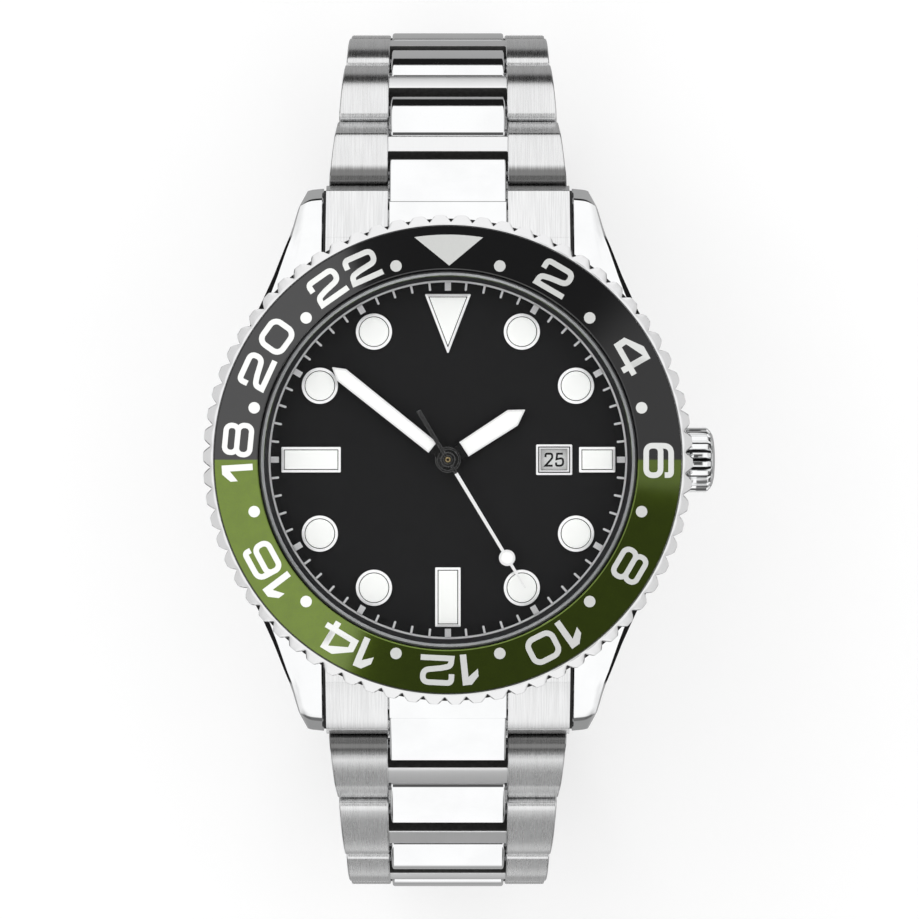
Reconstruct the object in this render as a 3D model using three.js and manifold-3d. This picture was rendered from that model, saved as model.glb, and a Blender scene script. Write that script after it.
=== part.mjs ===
// A steel dive watch on a three-row bracelet with a tri-fold clasp.
// Millimetres. +Z is the way the dial faces, +Y is 12 o'clock, +X is the crown.
// The origin is on the hand axis, on the flat outer face of the case back.
import * as THREE from 'three';
import { mergeVertices } from 'three/addons/utils/BufferGeometryUtils.js';
import Module from 'manifold-3d';

const wasm = await Module();
wasm.setup();

// ---- dimensions shared between sections --------------------------------
const RING_FACETS = 48;         // facets of a full turn on large rings
const NECK_R = 17.6;            // neck the bezel turns on
const DIAL_R = 16.5;
const DIAL_Z = [6.7, 7.1];
const STEM_Z = 4.6;             // crown and stem axis height
const CROWN_X = [20.95, 23.75];
const BAR_Y = 20.45;            // spring bars of the end links
const BAR_Z = 3.0;
const BATTERY_AT = [-6, -4.2];
const BOTH = [1, -1];           // the two signs of a mirrored feature

// ---- solids ------------------------------------------------------------
// A range is [low, high] along one axis.
const rad = (degrees) => degrees * Math.PI / 180;
const across = (half) => [-half, half];
const above = (base, [low, high]) => [base + low, base + high];
const sided = (side, [near, far]) => (side > 0 ? [near, far] : [-far, -near]);

// closed, outward-facing solid from a three.js geometry
function solid(source) {
  source.deleteAttribute('normal');
  source.deleteAttribute('uv');
  const merged = mergeVertices(source, 1e-4);
  const index = merged.index.array;
  const position = merged.attributes.position;
  const corners = [new THREE.Vector3(), new THREE.Vector3(), new THREE.Vector3()];
  const faces = [];
  let volume = 0;
  for (let i = 0; i < index.length; i += 3) {
    const face = [index[i], index[i + 1], index[i + 2]];
    if (new Set(face).size < 3) continue;
    faces.push(face);
    corners.forEach((corner, k) => corner.fromBufferAttribute(position, face[k]));
    volume += corners[0].dot(corners[1].cross(corners[2])) / 6;
  }
  const outward = volume < 0 ? faces.map(([a, b, c]) => [a, c, b]) : faces;
  return new wasm.Manifold(new wasm.Mesh({
    numProp: 3,
    vertProperties: new Float32Array(position.array),
    triVerts: new Uint32Array(outward.flat()),
  }));
}

function geometry(manifold) {
  const mesh = manifold.getMesh();
  const result = new THREE.BufferGeometry();
  const positions = new Float32Array(mesh.vertProperties);
  result.setAttribute('position', new THREE.BufferAttribute(positions, 3));
  result.setIndex(new THREE.BufferAttribute(new Uint32Array(mesh.triVerts), 1));
  result.computeVertexNormals();
  return result;
}

// ring or disc turned about Z from a list of [r, z]
function turned(points, facets = RING_FACETS) {
  const profile = points.map(([r, z]) => new THREE.Vector2(r, z));
  const onAxis = points[0][0] === 0 && points.at(-1)[0] === 0;
  if (!onAxis) profile.push(profile[0].clone());
  return solid(new THREE.LatheGeometry(profile, facets).rotateX(Math.PI / 2));
}
const ring = (r0, r1, [z0, z1]) => turned([[r0, z0], [r1, z0], [r1, z1], [r0, z1]]);
const disc = (r, [z0, z1], facets) => turned([[0, z0], [r, z0], [r, z1], [0, z1]], facets);

const vectors = (points) => points.map(([x, y]) => new THREE.Vector2(x, y));
function extruded(points, depth, holes = []) {
  const shape = new THREE.Shape(vectors(points));
  shape.holes.push(...holes.map((hole) => new THREE.Path(vectors(hole))));
  return new THREE.ExtrudeGeometry(shape, { depth, bevelEnabled: false });
}
// prism along Z from a list of [x, y]
const prismZ = (points, [z0, z1], holes) =>
  solid(extruded(points, z1 - z0, holes).translate(0, 0, z0));
// prism along X from a list of [y, z]
const alongXBasis = new THREE.Matrix4().makeBasis(
  new THREE.Vector3(0, 1, 0), new THREE.Vector3(0, 0, 1), new THREE.Vector3(1, 0, 0));
const prismX = (points, [x0, x1]) =>
  solid(extruded(points, x1 - x0).applyMatrix4(alongXBasis).translate(x0, 0, 0));
const block = ([x0, x1], [y0, y1], [z0, z1]) =>
  solid(new THREE.BoxGeometry(x1 - x0, y1 - y0, z1 - z0)
    .translate((x0 + x1) / 2, (y0 + y1) / 2, (z0 + z1) / 2));

const polar = (r, angle) => [r * Math.cos(angle), r * Math.sin(angle)];
const circle = ([cx, cy], r, facets = 16, turn = 0) => Array.from({ length: facets }, (_, i) => {
  const [x, y] = polar(r, turn + 2 * Math.PI * i / facets);
  return [cx + x, cy + y];
});
const rectangle = ([cx, cy], [width, height]) => [
  [cx - width / 2, cy - height / 2], [cx + width / 2, cy - height / 2],
  [cx + width / 2, cy + height / 2], [cx - width / 2, cy + height / 2]];
// closed outline repeating a tooth of [fraction of the pitch, radius]
const toothed = (count, tooth, start = 0) => Array.from({ length: count }, (_, i) =>
  tooth.map(([fraction, r]) => polar(r, start + 2 * Math.PI * (i + fraction) / count))).flat();
const rodX = (xRange, centre, r, facets = 8) =>
  prismX(circle(centre, r, facets, Math.PI / facets), xRange);
const rodZ = (centre, r, zRange, facets = 16) => prismZ(circle(centre, r, facets), zRange);

// ---- finishes ----------------------------------------------------------
const metal = (look) => new THREE.MeshStandardMaterial({ metalness: 1, ...look });
const matt = (look) => new THREE.MeshStandardMaterial({ metalness: 0, ...look });
const finish = {
  steel: metal({ color: 0xc9cbcc, roughness: 0.3 }),
  caseBack: metal({ color: 0xbfc1c3, roughness: 0.35 }),
  bezel: metal({ color: 0xd2d4d5, roughness: 0.18 }),
  clickSpring: metal({ color: 0xb8babc, roughness: 0.3 }),
  gilt: metal({ color: 0xb59a5b, roughness: 0.35 }),
  plate: metal({ color: 0xb9a26a, roughness: 0.4 }),
  battery: metal({ color: 0xd4d6d8, roughness: 0.3 }),
  crown: metal({ color: 0xd0d2d3, roughness: 0.22 }),
  smallSteel: metal({ color: 0xb6b8ba, roughness: 0.3 }),
  lever: metal({ color: 0xb6b8ba, roughness: 0.35 }),
  centreLink: metal({ color: 0xd8dadb, roughness: 0.12 }),
  outerLink: metal({ color: 0xc4c6c8, roughness: 0.35 }),
  blade: metal({ color: 0xc9cbcc, roughness: 0.25 }),
  button: metal({ color: 0xc4c6c8, roughness: 0.25 }),
  blackGasket: matt({ color: 0x111111, roughness: 0.8 }),
  insert: matt({ color: 0x161718, roughness: 0.35 }),
  crystal: matt({ color: 0xf4f8fa, roughness: 0.03, transparent: true, opacity: 0.15 }),
  whiteGasket: matt({ color: 0xe8e8e6, roughness: 0.5 }),
  rehaut: matt({ color: 0x1c1d1f, roughness: 0.5 }),
  dial: matt({ color: 0x101112, roughness: 0.6 }),
  dateRing: matt({ color: 0xb9bbb9, roughness: 0.4 }),
  hands: matt({ color: 0xf2f2ee, roughness: 0.5 }),
  holder: matt({ color: 0xe9e7df, roughness: 0.6 }),
};

const watch = new THREE.Group();
function add(name, manifold, material) {
  const mesh = new THREE.Mesh(geometry(manifold), material);
  mesh.name = name;
  watch.add(mesh);
}

// ---- case middle: barrel, four lugs, bores -----------------------------
const CASE_R = 20.6;
const CASE_Z = [0.7, 8.4];      // underside, and shoulder under the bezel
const NECK_Z = 10.2;
const LUG_INNER_X = 11.1;       // inner lug faces
const LUG_TIP_Y = 24.2;         // half of lug to lug
// lug seen along Z, [x, y]
const LUG_PLAN = [[LUG_INNER_X, 6], [19.2, 6], [18.2, 10.5], [16.5, 14.3], [14.4, 19.8],
  [13.15, 22.9], [12.7, LUG_TIP_Y], [LUG_INNER_X, LUG_TIP_Y]];
// lug seen along X, [y, z], over the top and back underneath
const LUG_SIDE = [[0, 8.2], [13, 8.2], [16, 7.7], [18.5, 6.85], [21, 5.5], [22.9, 4.1],
  [23.9, 3.0], [LUG_TIP_Y, 2.2], [24.0, 1.5], [23.2, 1.15], [18, 0.95], [0, 0.95]];
const BARREL = [[0, CASE_Z[0]], [18.6, CASE_Z[0]], [19.9, 1.9], [CASE_R, 4.2], [CASE_R, 8.0],
  [CASE_R - 0.4, CASE_Z[1]], [NECK_R, CASE_Z[1]], [NECK_R, NECK_Z], [0, NECK_Z]];
// [r, z]: case back seat, gasket groove, movement bore, dial seat, crystal seat
const CASE_BORE = [[0, 0], [17.1, 0], [17.1, 1.35], [16.65, 1.35], [16.65, 2.05], [15.75, 2.05],
  [15.75, 1.35], [15.5, 1.35], [15.5, 6.6], [16.6, 6.6], [16.6, 9.25], [16.76, 9.25],
  [16.76, 11], [0, 11]];

function caseMiddle() {
  const otherHalf = LUG_SIDE.slice(1, -1).reverse().map(([y, z]) => [-y, z]);
  const lugEnvelope = prismX([...LUG_SIDE, ...otherHalf], across(20));
  let body = turned(BARREL);
  for (const sideX of BOTH) {
    for (const sideY of BOTH) {
      const plan = LUG_PLAN.map(([x, y]) => [sideX * x, sideY * y]);
      body = body.add(prismZ(plan, [0.4, 8.6]).intersect(lugEnvelope));
    }
  }
  for (const sideY of BOTH) {
    // flat between the lugs where the end link sits
    body = body.subtract(block(across(LUG_INNER_X), sided(sideY, [19.6, 26]), [0, 9]));
    for (const sideX of BOTH) { // spring bar holes
      body = body.subtract(rodX(sided(sideX, [10.5, 12.25]), [sideY * BAR_Y, BAR_Z], 0.52));
    }
  }
  const tubeHole = rodX([14, 22], [0, STEM_Z], 1.75, 20);
  return body.subtract(turned(CASE_BORE)).subtract(tubeHole);
}
add('case_middle', caseMiddle(), finish.steel);

// ---- case back and its gasket ------------------------------------------
const KEY_NOTCHES = 6;
function caseBack() {
  let back = turned([[0, 0], [16.6, 0], [17.0, 0.35], [17.0, 1.2], [15.35, 1.2], [15.35, 2.3],
    [14.3, 2.3], [14.3, 1.2], [0, 1.2]]);
  const notch = block([15.6, 17.4], across(1), [-0.2, 0.55]);
  for (let i = 0; i < KEY_NOTCHES; i++) {
    back = back.subtract(notch.rotate([0, 0, 360 * (i + 0.5) / KEY_NOTCHES]));
  }
  return back;
}
add('case_back', caseBack(), finish.caseBack);
add('case_back_gasket', ring(15.85, 16.5, [1.26, 1.9]), finish.blackGasket);

// ---- rotating bezel ----------------------------------------------------
const BEZEL_R = 21.5;           // over the scallops
const BEZEL_Z = [8.66, 10.85];
const SCALLOPS = 70;
const SCALLOP_DEPTH = 0.5;
const SCALLOP_START = rad(89.25);
const INSERT_R = [16.8, 20.55];

function bezelRing() {
  // [fraction of the pitch, share of the depth]
  const scallop = [[0, 1], [0.18, 0.28], [0.5, 0], [0.82, 0.28]]
    .map(([fraction, share]) => [fraction, BEZEL_R - SCALLOP_DEPTH * share]);
  const section = turned([[0, 8], [20.9, 8], [20.9, BEZEL_Z[0]], [22.4, 9.3], [22.4, 9.55],
    [20.8, BEZEL_Z[1]], [0, BEZEL_Z[1]]]);
  return prismZ(toothed(SCALLOPS, scallop, SCALLOP_START), BEZEL_Z)
    .intersect(section)
    .subtract(disc(NECK_R + 0.12, [8, 12]))     // turns on the neck
    .subtract(disc(INSERT_R[1] + 0.07, [10.1, 12]))  // insert seat
    .subtract(ring(17.0, 20.2, [8, 8.92]));     // hollow for the click spring
}
add('bezel_ring', bezelRing(), finish.bezel);

const bezelInsert = turned([[INSERT_R[0], 10.3], [17.7, 10.3], [17.7, 10.14],
  [INSERT_R[1], 10.14], [INSERT_R[1], 10.82], [INSERT_R[0] + 0.1, 11.1], [INSERT_R[0], 11.0]]);
add('bezel_insert', bezelInsert, finish.insert);

// flat open ring with one raised pawl, in the hollow of the bezel
function clickSpring() {
  const steps = 32;
  const arc = (r) => Array.from({ length: steps + 1 },
    (_, i) => polar(r, rad(20 + 320 * i / steps)));
  const pawl = [[18.1, 24], [19.3, 24], [19.3, 28], [18.1, 28]] // [r, degrees]
    .map(([r, degrees]) => polar(r, rad(degrees)));
  return prismZ([...arc(19.4), ...arc(18.0).reverse()], [8.45, 8.62])
    .add(prismZ(pawl, [8.5, 8.82]));
}
add('bezel_click_spring', clickSpring(), finish.clickSpring);

// ---- crystal, its gasket, and the ring round the dial ------------------
const CRYSTAL_R = 16.25;
const CRYSTAL_Z = [9.4, 11.4];
const crystal = turned([[0, CRYSTAL_Z[0]], [CRYSTAL_R, CRYSTAL_Z[0]], [CRYSTAL_R, 10.95],
  [15.9, 11.2], [11, 11.35], [0, CRYSTAL_Z[1]]]);
add('crystal', crystal, finish.crystal);
add('crystal_gasket', ring(16.3, 16.71, [9.32, 10.25]), finish.whiteGasket);
const rehaut = turned([[16.05, 7.15], [16.54, 7.15], [16.54, 9.22], [16.25, 9.22]]);
add('rehaut_ring', rehaut, finish.rehaut);

// ---- dial with its applied markers and date frame ----------------------
const APPLIED_Z0 = DIAL_Z[1] - 0.05;      // applied parts sink into the dial
const MARKER_Z = [APPLIED_Z0, 7.55];
const ROUND_MARKER_HOURS = [1, 2, 4, 5, 7, 8, 10, 11];
const ROUND_MARKER_AT_R = 12.95;
const ROUND_MARKER_R = 1.58;
const DATE_CENTRE = [9.4, 0];
const DATE_FRAME = [3.2, 2.6];
const OTHER_MARKERS = [
  rectangle([0, -12.1], [2.25, 5.2]),     // 6
  rectangle([-12.1, 0], [5.2, 2.25]),     // 9
  rectangle([13.1, 0], [3.16, 2.18]),     // 3, outside the date
  [[-2, 14.6], [0, 9.5], [2, 14.6]],      // 12
];

function dial() {
  const dateWindow = rectangle(DATE_CENTRE, [2.2, 1.8]);
  let body = disc(DIAL_R, DIAL_Z).subtract(disc(1.0, [6, 8], 16))
    .subtract(prismZ(dateWindow, [6, 8]));
  for (const hour of ROUND_MARKER_HOURS) {
    const centre = polar(ROUND_MARKER_AT_R, rad(90 - 30 * hour));
    body = body.add(rodZ(centre, ROUND_MARKER_R, MARKER_Z, 18));
  }
  for (const plan of OTHER_MARKERS) body = body.add(prismZ(plan, MARKER_Z));
  const frame = prismZ(rectangle(DATE_CENTRE, DATE_FRAME), [APPLIED_Z0, 7.3], [dateWindow]);
  return body.add(frame);
}
add('dial', dial(), finish.dial);

// toothed on the inside, one tooth a day
const dateTeeth = toothed(31, [[-0.2, 7.9], [0.2, 7.6]]);
add('date_ring', prismZ(circle([0, 0], 11.0, 62), [6.2, 6.5], [dateTeeth]), finish.dateRing);

// ---- hands and the wheels that carry them ------------------------------
// hand angles are degrees clockwise from 12
const HOUR_ANGLE = 57;
const MINUTE_ANGLE = 309;
const SECOND_ANGLE = 149;
const HOUR_Z = [7.85, 8.1];
const MINUTE_Z = [8.4, 8.62];
const SECOND_Z = [8.88, 9.03];
const TIP_LENGTH = 0.9;
const PIPE_PROUD = 0.02;        // each pipe ends this far above its hand
const AXIS = [0, 0];

function hand({ angle, length, width, zRange, hub, bore }) {
  const shoulder = length - TIP_LENGTH;
  return prismZ([[-width / 2, 0], [width / 2, 0], [width / 2, shoulder], [0, length],
    [-width / 2, shoulder]], zRange)
    .add(rodZ(AXIS, hub, zRange, 20))
    .subtract(rodZ(AXIS, bore, [zRange[0] - 1, zRange[1] + 1]))
    .rotate([0, 0, -angle]);
}
add('hour_hand', hand({
  angle: HOUR_ANGLE, length: 8.4, width: 1.65, zRange: HOUR_Z, hub: 1.3, bore: 0.84,
}), finish.hands);
add('minute_hand', hand({
  angle: MINUTE_ANGLE, length: 13.0, width: 1.5, zRange: MINUTE_Z, hub: 1.2, bore: 0.55,
}), finish.hands);

function secondHand() {
  const needle = [[-0.3, -4.9], [0.3, -4.9], [0.16, 0], [0.1, 13.3], [-0.1, 13.3], [-0.16, 0]];
  return prismZ(needle, SECOND_Z)
    .add(rodZ([0, 10.2], 0.72, SECOND_Z, 18))   // disc near the tip
    .add(rodZ(AXIS, 0.85, [8.82, 9.15], 18))    // hub
    .rotate([0, 0, -SECOND_ANGLE])
    .add(rodZ(AXIS, 0.2, [5.1, 9.0], 10));      // arbor
}
add('second_hand', secondHand(), finish.hands);

function wheel({ teeth, rootR, tipR, zRange, pipeR, pipeTop, bore, boreFacets }) {
  const tooth = [[0, rootR], [0.2, tipR], [0.5, tipR], [0.7, rootR]];
  return prismZ(toothed(teeth, tooth), zRange)
    .add(rodZ(AXIS, pipeR, [zRange[0], pipeTop]))
    .subtract(rodZ(AXIS, bore, [5, 9], boreFacets));
}
add('hour_wheel', wheel({
  teeth: 24, rootR: 3.2, tipR: 3.6, zRange: [5.75, 6.0],
  pipeR: 0.82, pipeTop: HOUR_Z[1] + PIPE_PROUD, bore: 0.64, boreFacets: 16,
}), finish.gilt);
add('cannon_pinion', wheel({
  teeth: 10, rootR: 0.95, tipR: 1.3, zRange: [5.15, 5.6],
  pipeR: 0.52, pipeTop: MINUTE_Z[1] + PIPE_PROUD, bore: 0.3, boreFacets: 12,
}), finish.gilt);

// ---- movement, holder, cell --------------------------------------------
// slot round the stem, open towards the dial
const stemSlot = (xRange, half, top) => block(xRange, across(half), [STEM_Z - half, top]);

function movementPlate() {
  let plate = disc(13.1, [2.6, 5.0])
    .subtract(rodZ(BATTERY_AT, 4.1, [2, 4.4], 28))
    .subtract(stemSlot([4.5, 13.5], 0.85, 6))
    .subtract(rodZ(AXIS, 0.35, [2, 6], 12));
  for (const centre of [[5.5, 6.5], [-5.5, 7.5]]) { // two blind holes in the underside
    plate = plate.subtract(rodZ(centre, 1.0, [2, 3.2], 12));
  }
  return plate;
}
add('movement_plate', movementPlate(), finish.plate);
const holder = ring(13.2, 15.4, [2.4, 6.55]).subtract(stemSlot([12.5, 16], 0.9, 6.7));
add('movement_holder', holder, finish.holder);
const battery = turned([[0, 2.66], [3.5, 2.66], [3.9, 2.9], [3.9, 4.3], [0, 4.3]], 28)
  .translate([...BATTERY_AT, 0]);
add('battery', battery, finish.battery);

// ---- crown, stem, tube, setting lever ----------------------------------
const CROWN_R = 2.9;
const FLUTES = 22;
const STEM_END_X = CROWN_X[0] + 1.5;
const TUBE_END_X = CROWN_X[0] + 1.0;
// lays a part turned about Z on the stem axis, its z becoming x
const onStemAxis = (part) => part.rotate([0, 90, 0]).translate([0, 0, STEM_Z]);

function crown() {
  const [inner, outer] = CROWN_X;
  const flute = [[0, 2.92], [0.5, 2.92], [0.68, 2.62], [0.82, 2.62]];
  return turned([[0, inner], [2.45, inner], [CROWN_R, inner + 0.35], [CROWN_R, outer - 0.85],
    [2.55, outer - 0.4], [1.4, outer - 0.1], [0, outer]], 28)
    .subtract(disc(1.72, [inner - 0.2, inner + 1.55], 20))
    .intersect(prismZ(toothed(FLUTES, flute), [inner - 1, outer + 1]));
}
add('crown', onStemAxis(crown()), finish.crown);

// [r, x]
const STEM = [[0, 5.2], [0.45, 5.2], [0.45, 7.0], [0.6, 7.0], [0.6, 9.4], [0.34, 9.4],
  [0.34, 10.4], [0.6, 10.4], [0.6, STEM_END_X], [0, STEM_END_X]];
const TUBE = [[1.0, 15.55], [1.7, 15.55], [1.7, 20.4], [1.6, 20.9], [1.6, TUBE_END_X],
  [1.0, TUBE_END_X]];
add('winding_stem', onStemAxis(turned(STEM, 16)), finish.smallSteel);
add('crown_tube', onStemAxis(turned(TUBE, 20)), finish.smallSteel);

const LEVER_PLAN = [[9.62, -0.25], [10.18, -0.25], [10.18, 1.2], [10.9, 3.4], [10.2, 4.0],
  [9.3, 3.6], [9.0, 2.2], [9.62, 1.2]]; // [x, y]
const settingLever = prismZ(LEVER_PLAN, [5.06, 5.4])
  .subtract(rodZ([10.0, 3.2], 0.3, [5, 6], 10));
add('setting_lever', settingLever, finish.lever);

// ---- bracelet ----------------------------------------------------------
// Pivots are [distance from the hand axis along Y, z], the same on both sides.
const FIRST_PIVOT = [22.8, 3.0];
const CENTRE_PITCH = 3.4;       // between the two holes of a centre link
const SIDE_PITCH = 5.2;         // between the two pins of an outer link
const CENTRE_HALF_W = 5.2;      // centre row
const SLOT_HALF_W = 5.35;       // space for it between the outer rows
const LINK_HALF_T = 1.5;        // half thickness of a link
const SIDE_END = 1.6;           // outer row runs this far past its pins
const CENTRE_END = 1.2;         // centre link runs this far past its holes
const RIB = 1.15;               // half length of the bar joining the outer rows
const END_STEPS = 4;            // facets of a quarter turn of a link end
const PIN_R = 0.5;
const BORE_R = 0.66;
// slope of every link below the horizontal, degrees, case to clasp
const SLOPES = [38, 41, 46, 52, 61, 71, 81, 95, 108, 120, 131, 142, 152, 161];
// bracelet width where each outer link starts and ends
const WIDTHS = [[21.3, 20.3], [20.2, 19.4], [19.3, 18.8], [18.7, 18.4],
  [18.35, 18.15], [18.1, 18.0], [18.0, 18.0]];

const pivots = [FIRST_PIVOT];
SLOPES.forEach((slope, i) => {
  const [y, z] = pivots[i];
  const pitch = i % 2 === 0 ? CENTRE_PITCH : SIDE_PITCH;
  pivots.push([y + pitch * Math.cos(rad(slope)), z - pitch * Math.sin(rad(slope))]);
});
const LAST_PIVOT = pivots.at(-1); // at the clasp

const pin = (side, [y, z]) => rodX(across(5.6), [side * y, z], PIN_R);
const bore = (side, [y, z], half = 6) => rodX(across(half), [side * y, z], BORE_R);

// Side view of a link in its own plane: [u along the bracelet, v outward].
// The ends are half superellipses; the exponent shapes their outward quarter.
function linkOutline(pitch, reach, outwardExponent) {
  const end = [];
  for (let i = 0; i <= 2 * END_STEPS; i++) {
    const angle = rad(-90 + 90 * i / END_STEPS);
    const sine = Math.sin(angle);
    const cosine = Math.max(0, Math.cos(angle));
    const power = 2 / (sine >= 0 ? outwardExponent : 2);
    end.push([reach * cosine ** power,
      LINK_HALF_T * Math.sign(sine) * Math.abs(sine) ** power]);
  }
  return [...end.map(([u, v]) => [pitch + u, v]), ...end.map(([u, v]) => [-u, v]).reverse()];
}
// link-plane [u, v] to [y, z]
const placed = ({ start, slope, side }, points) => points.map(([u, v]) => [
  side * (start[0] + u * Math.cos(rad(slope)) + v * Math.sin(rad(slope))),
  start[1] - u * Math.sin(rad(slope)) + v * Math.cos(rad(slope))]);
// y, z back to u
const alongLink = ({ start, slope, side }, y, z) =>
  (side * y - start[0]) * Math.cos(rad(slope)) - (z - start[1]) * Math.sin(rad(slope));

// outer rows end round the first pivot, raised centre over it
const END_BODY = [[19.72, 1.6], [22.3, 1.5], [22.9, 1.52], [23.7, 1.75], [24.3, 2.3],
  [24.62, 3.0], [24.55, 3.55], [24.2, 4.0], [23.2, 4.5], [21.5, 5.35], [19.72, 6.3]]; // [y, z]
const END_CREST = [[19.72, 5.4], [22.0, 4.2], [23.0, 4.2], [23.0, 5.1], [22.6, 5.45],
  [21.4, 6.1], [19.72, 6.9]]; // [y, z]
function endLink(side) {
  const [y, z] = FIRST_PIVOT;
  const onSide = (points) => points.map(([py, pz]) => [side * py, pz]);
  const slot = across(SLOT_HALF_W);
  return prismX(onSide(END_BODY), across(10.98))
    .add(prismX(onSide(END_CREST), across(CENTRE_HALF_W)))
    .subtract(prismX(circle([side * y, z], 1.62, 20), slot))
    .subtract(block(slot, sided(side, [23.05, 26]), [0, 6]))
    .subtract(block(slot, sided(side, [y, 26]), [0, z]))
    .subtract(rodX(across(12), [side * BAR_Y, BAR_Z], 0.82, 12))
    .add(pin(side, FIRST_PIVOT));
}

function springBar(side) {
  const centre = [side * BAR_Y, BAR_Z];
  return rodX(across(10.7), centre, 0.66, 10).add(rodX(across(12.1), centre, 0.36));
}

// oval bar bored for both pins
function centreLink(link) {
  const outline = placed(link, linkOutline(CENTRE_PITCH, CENTRE_END, 2));
  return prismX(outline, across(CENTRE_HALF_W))
    .subtract(bore(link.side, link.start))
    .subtract(bore(link.side, link.end));
}

// two rows joined by a bar, with the pins
function outerLink(link, [startWidth, endWidth], boredForClasp) {
  const { side, start, end } = link;
  const middle = SIDE_PITCH / 2;
  let body = prismX(placed(link, linkOutline(SIDE_PITCH, SIDE_END, 3)), across(startWidth / 2));
  for (const [u0, u1] of [[-3, middle - RIB], [middle + RIB, SIDE_PITCH + 3]]) {
    const cut = placed(link, [[u0, -3], [u1, -3], [u1, 3], [u0, 3]]);
    body = body.subtract(prismX(cut, across(SLOT_HALF_W)));
  }
  body = body.add(pin(side, start));
  body = boredForClasp ? body.subtract(bore(side, end, 6.6)) : body.add(pin(side, end));
  // the rows narrow towards the clasp: only their outer faces move
  return body.warp((vertex) => {
    if (Math.abs(vertex[0]) < SLOT_HALF_W + 0.3) return;
    const u = alongLink(link, vertex[1], vertex[2]);
    const share = Math.min(1, Math.max(0, (u + SIDE_END) / (SIDE_PITCH + 2 * SIDE_END)));
    vertex[0] = Math.sign(vertex[0]) * (startWidth + (endWidth - startWidth) * share) / 2;
  });
}

for (const [hour, side] of [[12, 1], [6, -1]]) {
  add(`end_link_${hour}`, endLink(side), finish.steel);
  add(`spring_bar_${hour}`, springBar(side), finish.smallSteel);
  SLOPES.forEach((slope, i) => {
    const link = { start: pivots[i], end: pivots[i + 1], slope, side };
    const number = Math.floor(i / 2) + 1;
    if (i % 2 === 0) {
      add(`centre_link_${hour}_${number}`, centreLink(link), finish.centreLink);
    } else {
      // the last pin of the 12 side belongs to the inner blade
      const boredForClasp = hour === 12 && number === WIDTHS.length;
      add(`outer_link_${hour}_${number}`, outerLink(link, WIDTHS[number - 1], boredForClasp),
        finish.outerLink);
    }
  });
}

// ---- tri-fold clasp ----------------------------------------------------
// The cover lies lowest, farthest from the case; the blades fold above it.
const [END_Y, END_Z] = LAST_PIVOT;
const COVER_Z0 = END_Z - 1.9;
const COVER_Z1 = COVER_Z0 + 0.8;
const COVER_END_Y = 18.6;
const COVER_WALL_X = [8.2, 9];
const COVER_HINGE = [17.3, END_Z];              // cover to middle blade, [y, z]
const BLADE_HINGE = [-15.5, END_Z + 0.6];       // middle blade to inner blade, [y, z]
const MIDDLE_Z = above(END_Z, [-0.35, 0.45]);
const INNER_Z = above(END_Z, [1.15, 1.95]);
const BLADE_NECK = across(5.2);                 // narrow ends of the blades
const HINGE_PIN_R = 0.45;
const HINGE_BORE_R = 0.6;
const BUTTON_X = [8.05, 9.75];
const BUTTON_Y = [-10.85, -5.95];
const BUTTON_Z = above(END_Z, [-0.85, 0.8]);
const BUTTON_GAP = 0.15;

function claspCover() {
  const plate = [[-COVER_END_Y, COVER_Z0 + 0.3], [-18.0, COVER_Z0], [18.1, COVER_Z0],
    [COVER_END_Y, COVER_Z0 + 0.3], [COVER_END_Y, COVER_Z1], [-COVER_END_Y, COVER_Z1]];
  const wall = [[-COVER_END_Y, COVER_Z0 + 0.4], [COVER_END_Y, COVER_Z0 + 0.4],
    [COVER_END_Y, END_Z + 0.9], [18.0, END_Z + 1.4], [-18.0, END_Z + 1.4],
    [-COVER_END_Y, END_Z + 0.9]];
  // holds the last pin of the 6 side
  const tongue = [[-17.2, COVER_Z0 + 0.5], [-17.2, END_Z + 1.2], [-END_Y, END_Z + 1.1],
    ...circle([-END_Y, END_Z], 1.15, 20, Math.PI / 2).slice(1, 10),
    [-END_Y, END_Z - 1.15], [-18.0, COVER_Z0 + 0.5]];
  let cover = prismX(plate, across(COVER_WALL_X[1]));
  for (const side of BOTH) cover = cover.add(prismX(wall, sided(side, COVER_WALL_X)));
  cover = cover.subtract(block(across(5.6), [18.15, 19], [COVER_Z0 - 1, END_Z + 3]))
    .add(prismX(tongue, BLADE_NECK))
    .subtract(bore(-1, LAST_PIVOT));
  const openingY = [BUTTON_Y[0] - BUTTON_GAP, BUTTON_Y[1] + BUTTON_GAP];
  const openingZ = [BUTTON_Z[0] - BUTTON_GAP, BUTTON_Z[1] + BUTTON_GAP];
  for (const side of BOTH) {
    const ear = sided(side, [5.5, 8.5]);
    const openingX = sided(side, [BUTTON_X[0] - BUTTON_GAP, 9.4]);
    cover = cover.add(prismX(circle(COVER_HINGE, 0.95), ear))
      .add(block(ear, [16.6, 18.0], [COVER_Z0 + 0.4, END_Z - 0.3]))
      .subtract(block(openingX, openingY, openingZ));
  }
  return cover.add(rodX(across(6), COVER_HINGE, HINGE_PIN_R));
}
add('clasp_cover', claspCover(), finish.steel);

// knuckle bored for the cover's pin, knuckle with its own pin at the blade hinge
function middleBlade() {
  const coverY = COVER_HINGE[0];
  const bladeY = BLADE_HINGE[0];
  const knuckle = across(2.5);
  return block(BLADE_NECK, [coverY - 3, coverY + 0.2], MIDDLE_Z)
    .add(block(across(6.8), [bladeY + 2.0, coverY - 2.2], MIDDLE_Z))
    .add(prismX(circle(COVER_HINGE, 0.92), BLADE_NECK))
    .subtract(rodX(across(6), COVER_HINGE, HINGE_BORE_R))
    .add(block(knuckle, [bladeY, bladeY + 3], MIDDLE_Z))
    .add(prismX(circle(BLADE_HINGE, 1.0), knuckle))
    .add(rodX(across(6.4), BLADE_HINGE, HINGE_PIN_R))
    .subtract(block(across(4), [-6, 8], above(0, [MIDDLE_Z[0] - 1, MIDDLE_Z[1] + 1])));
}
add('clasp_middle_blade', middleBlade(), finish.blade);

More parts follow.
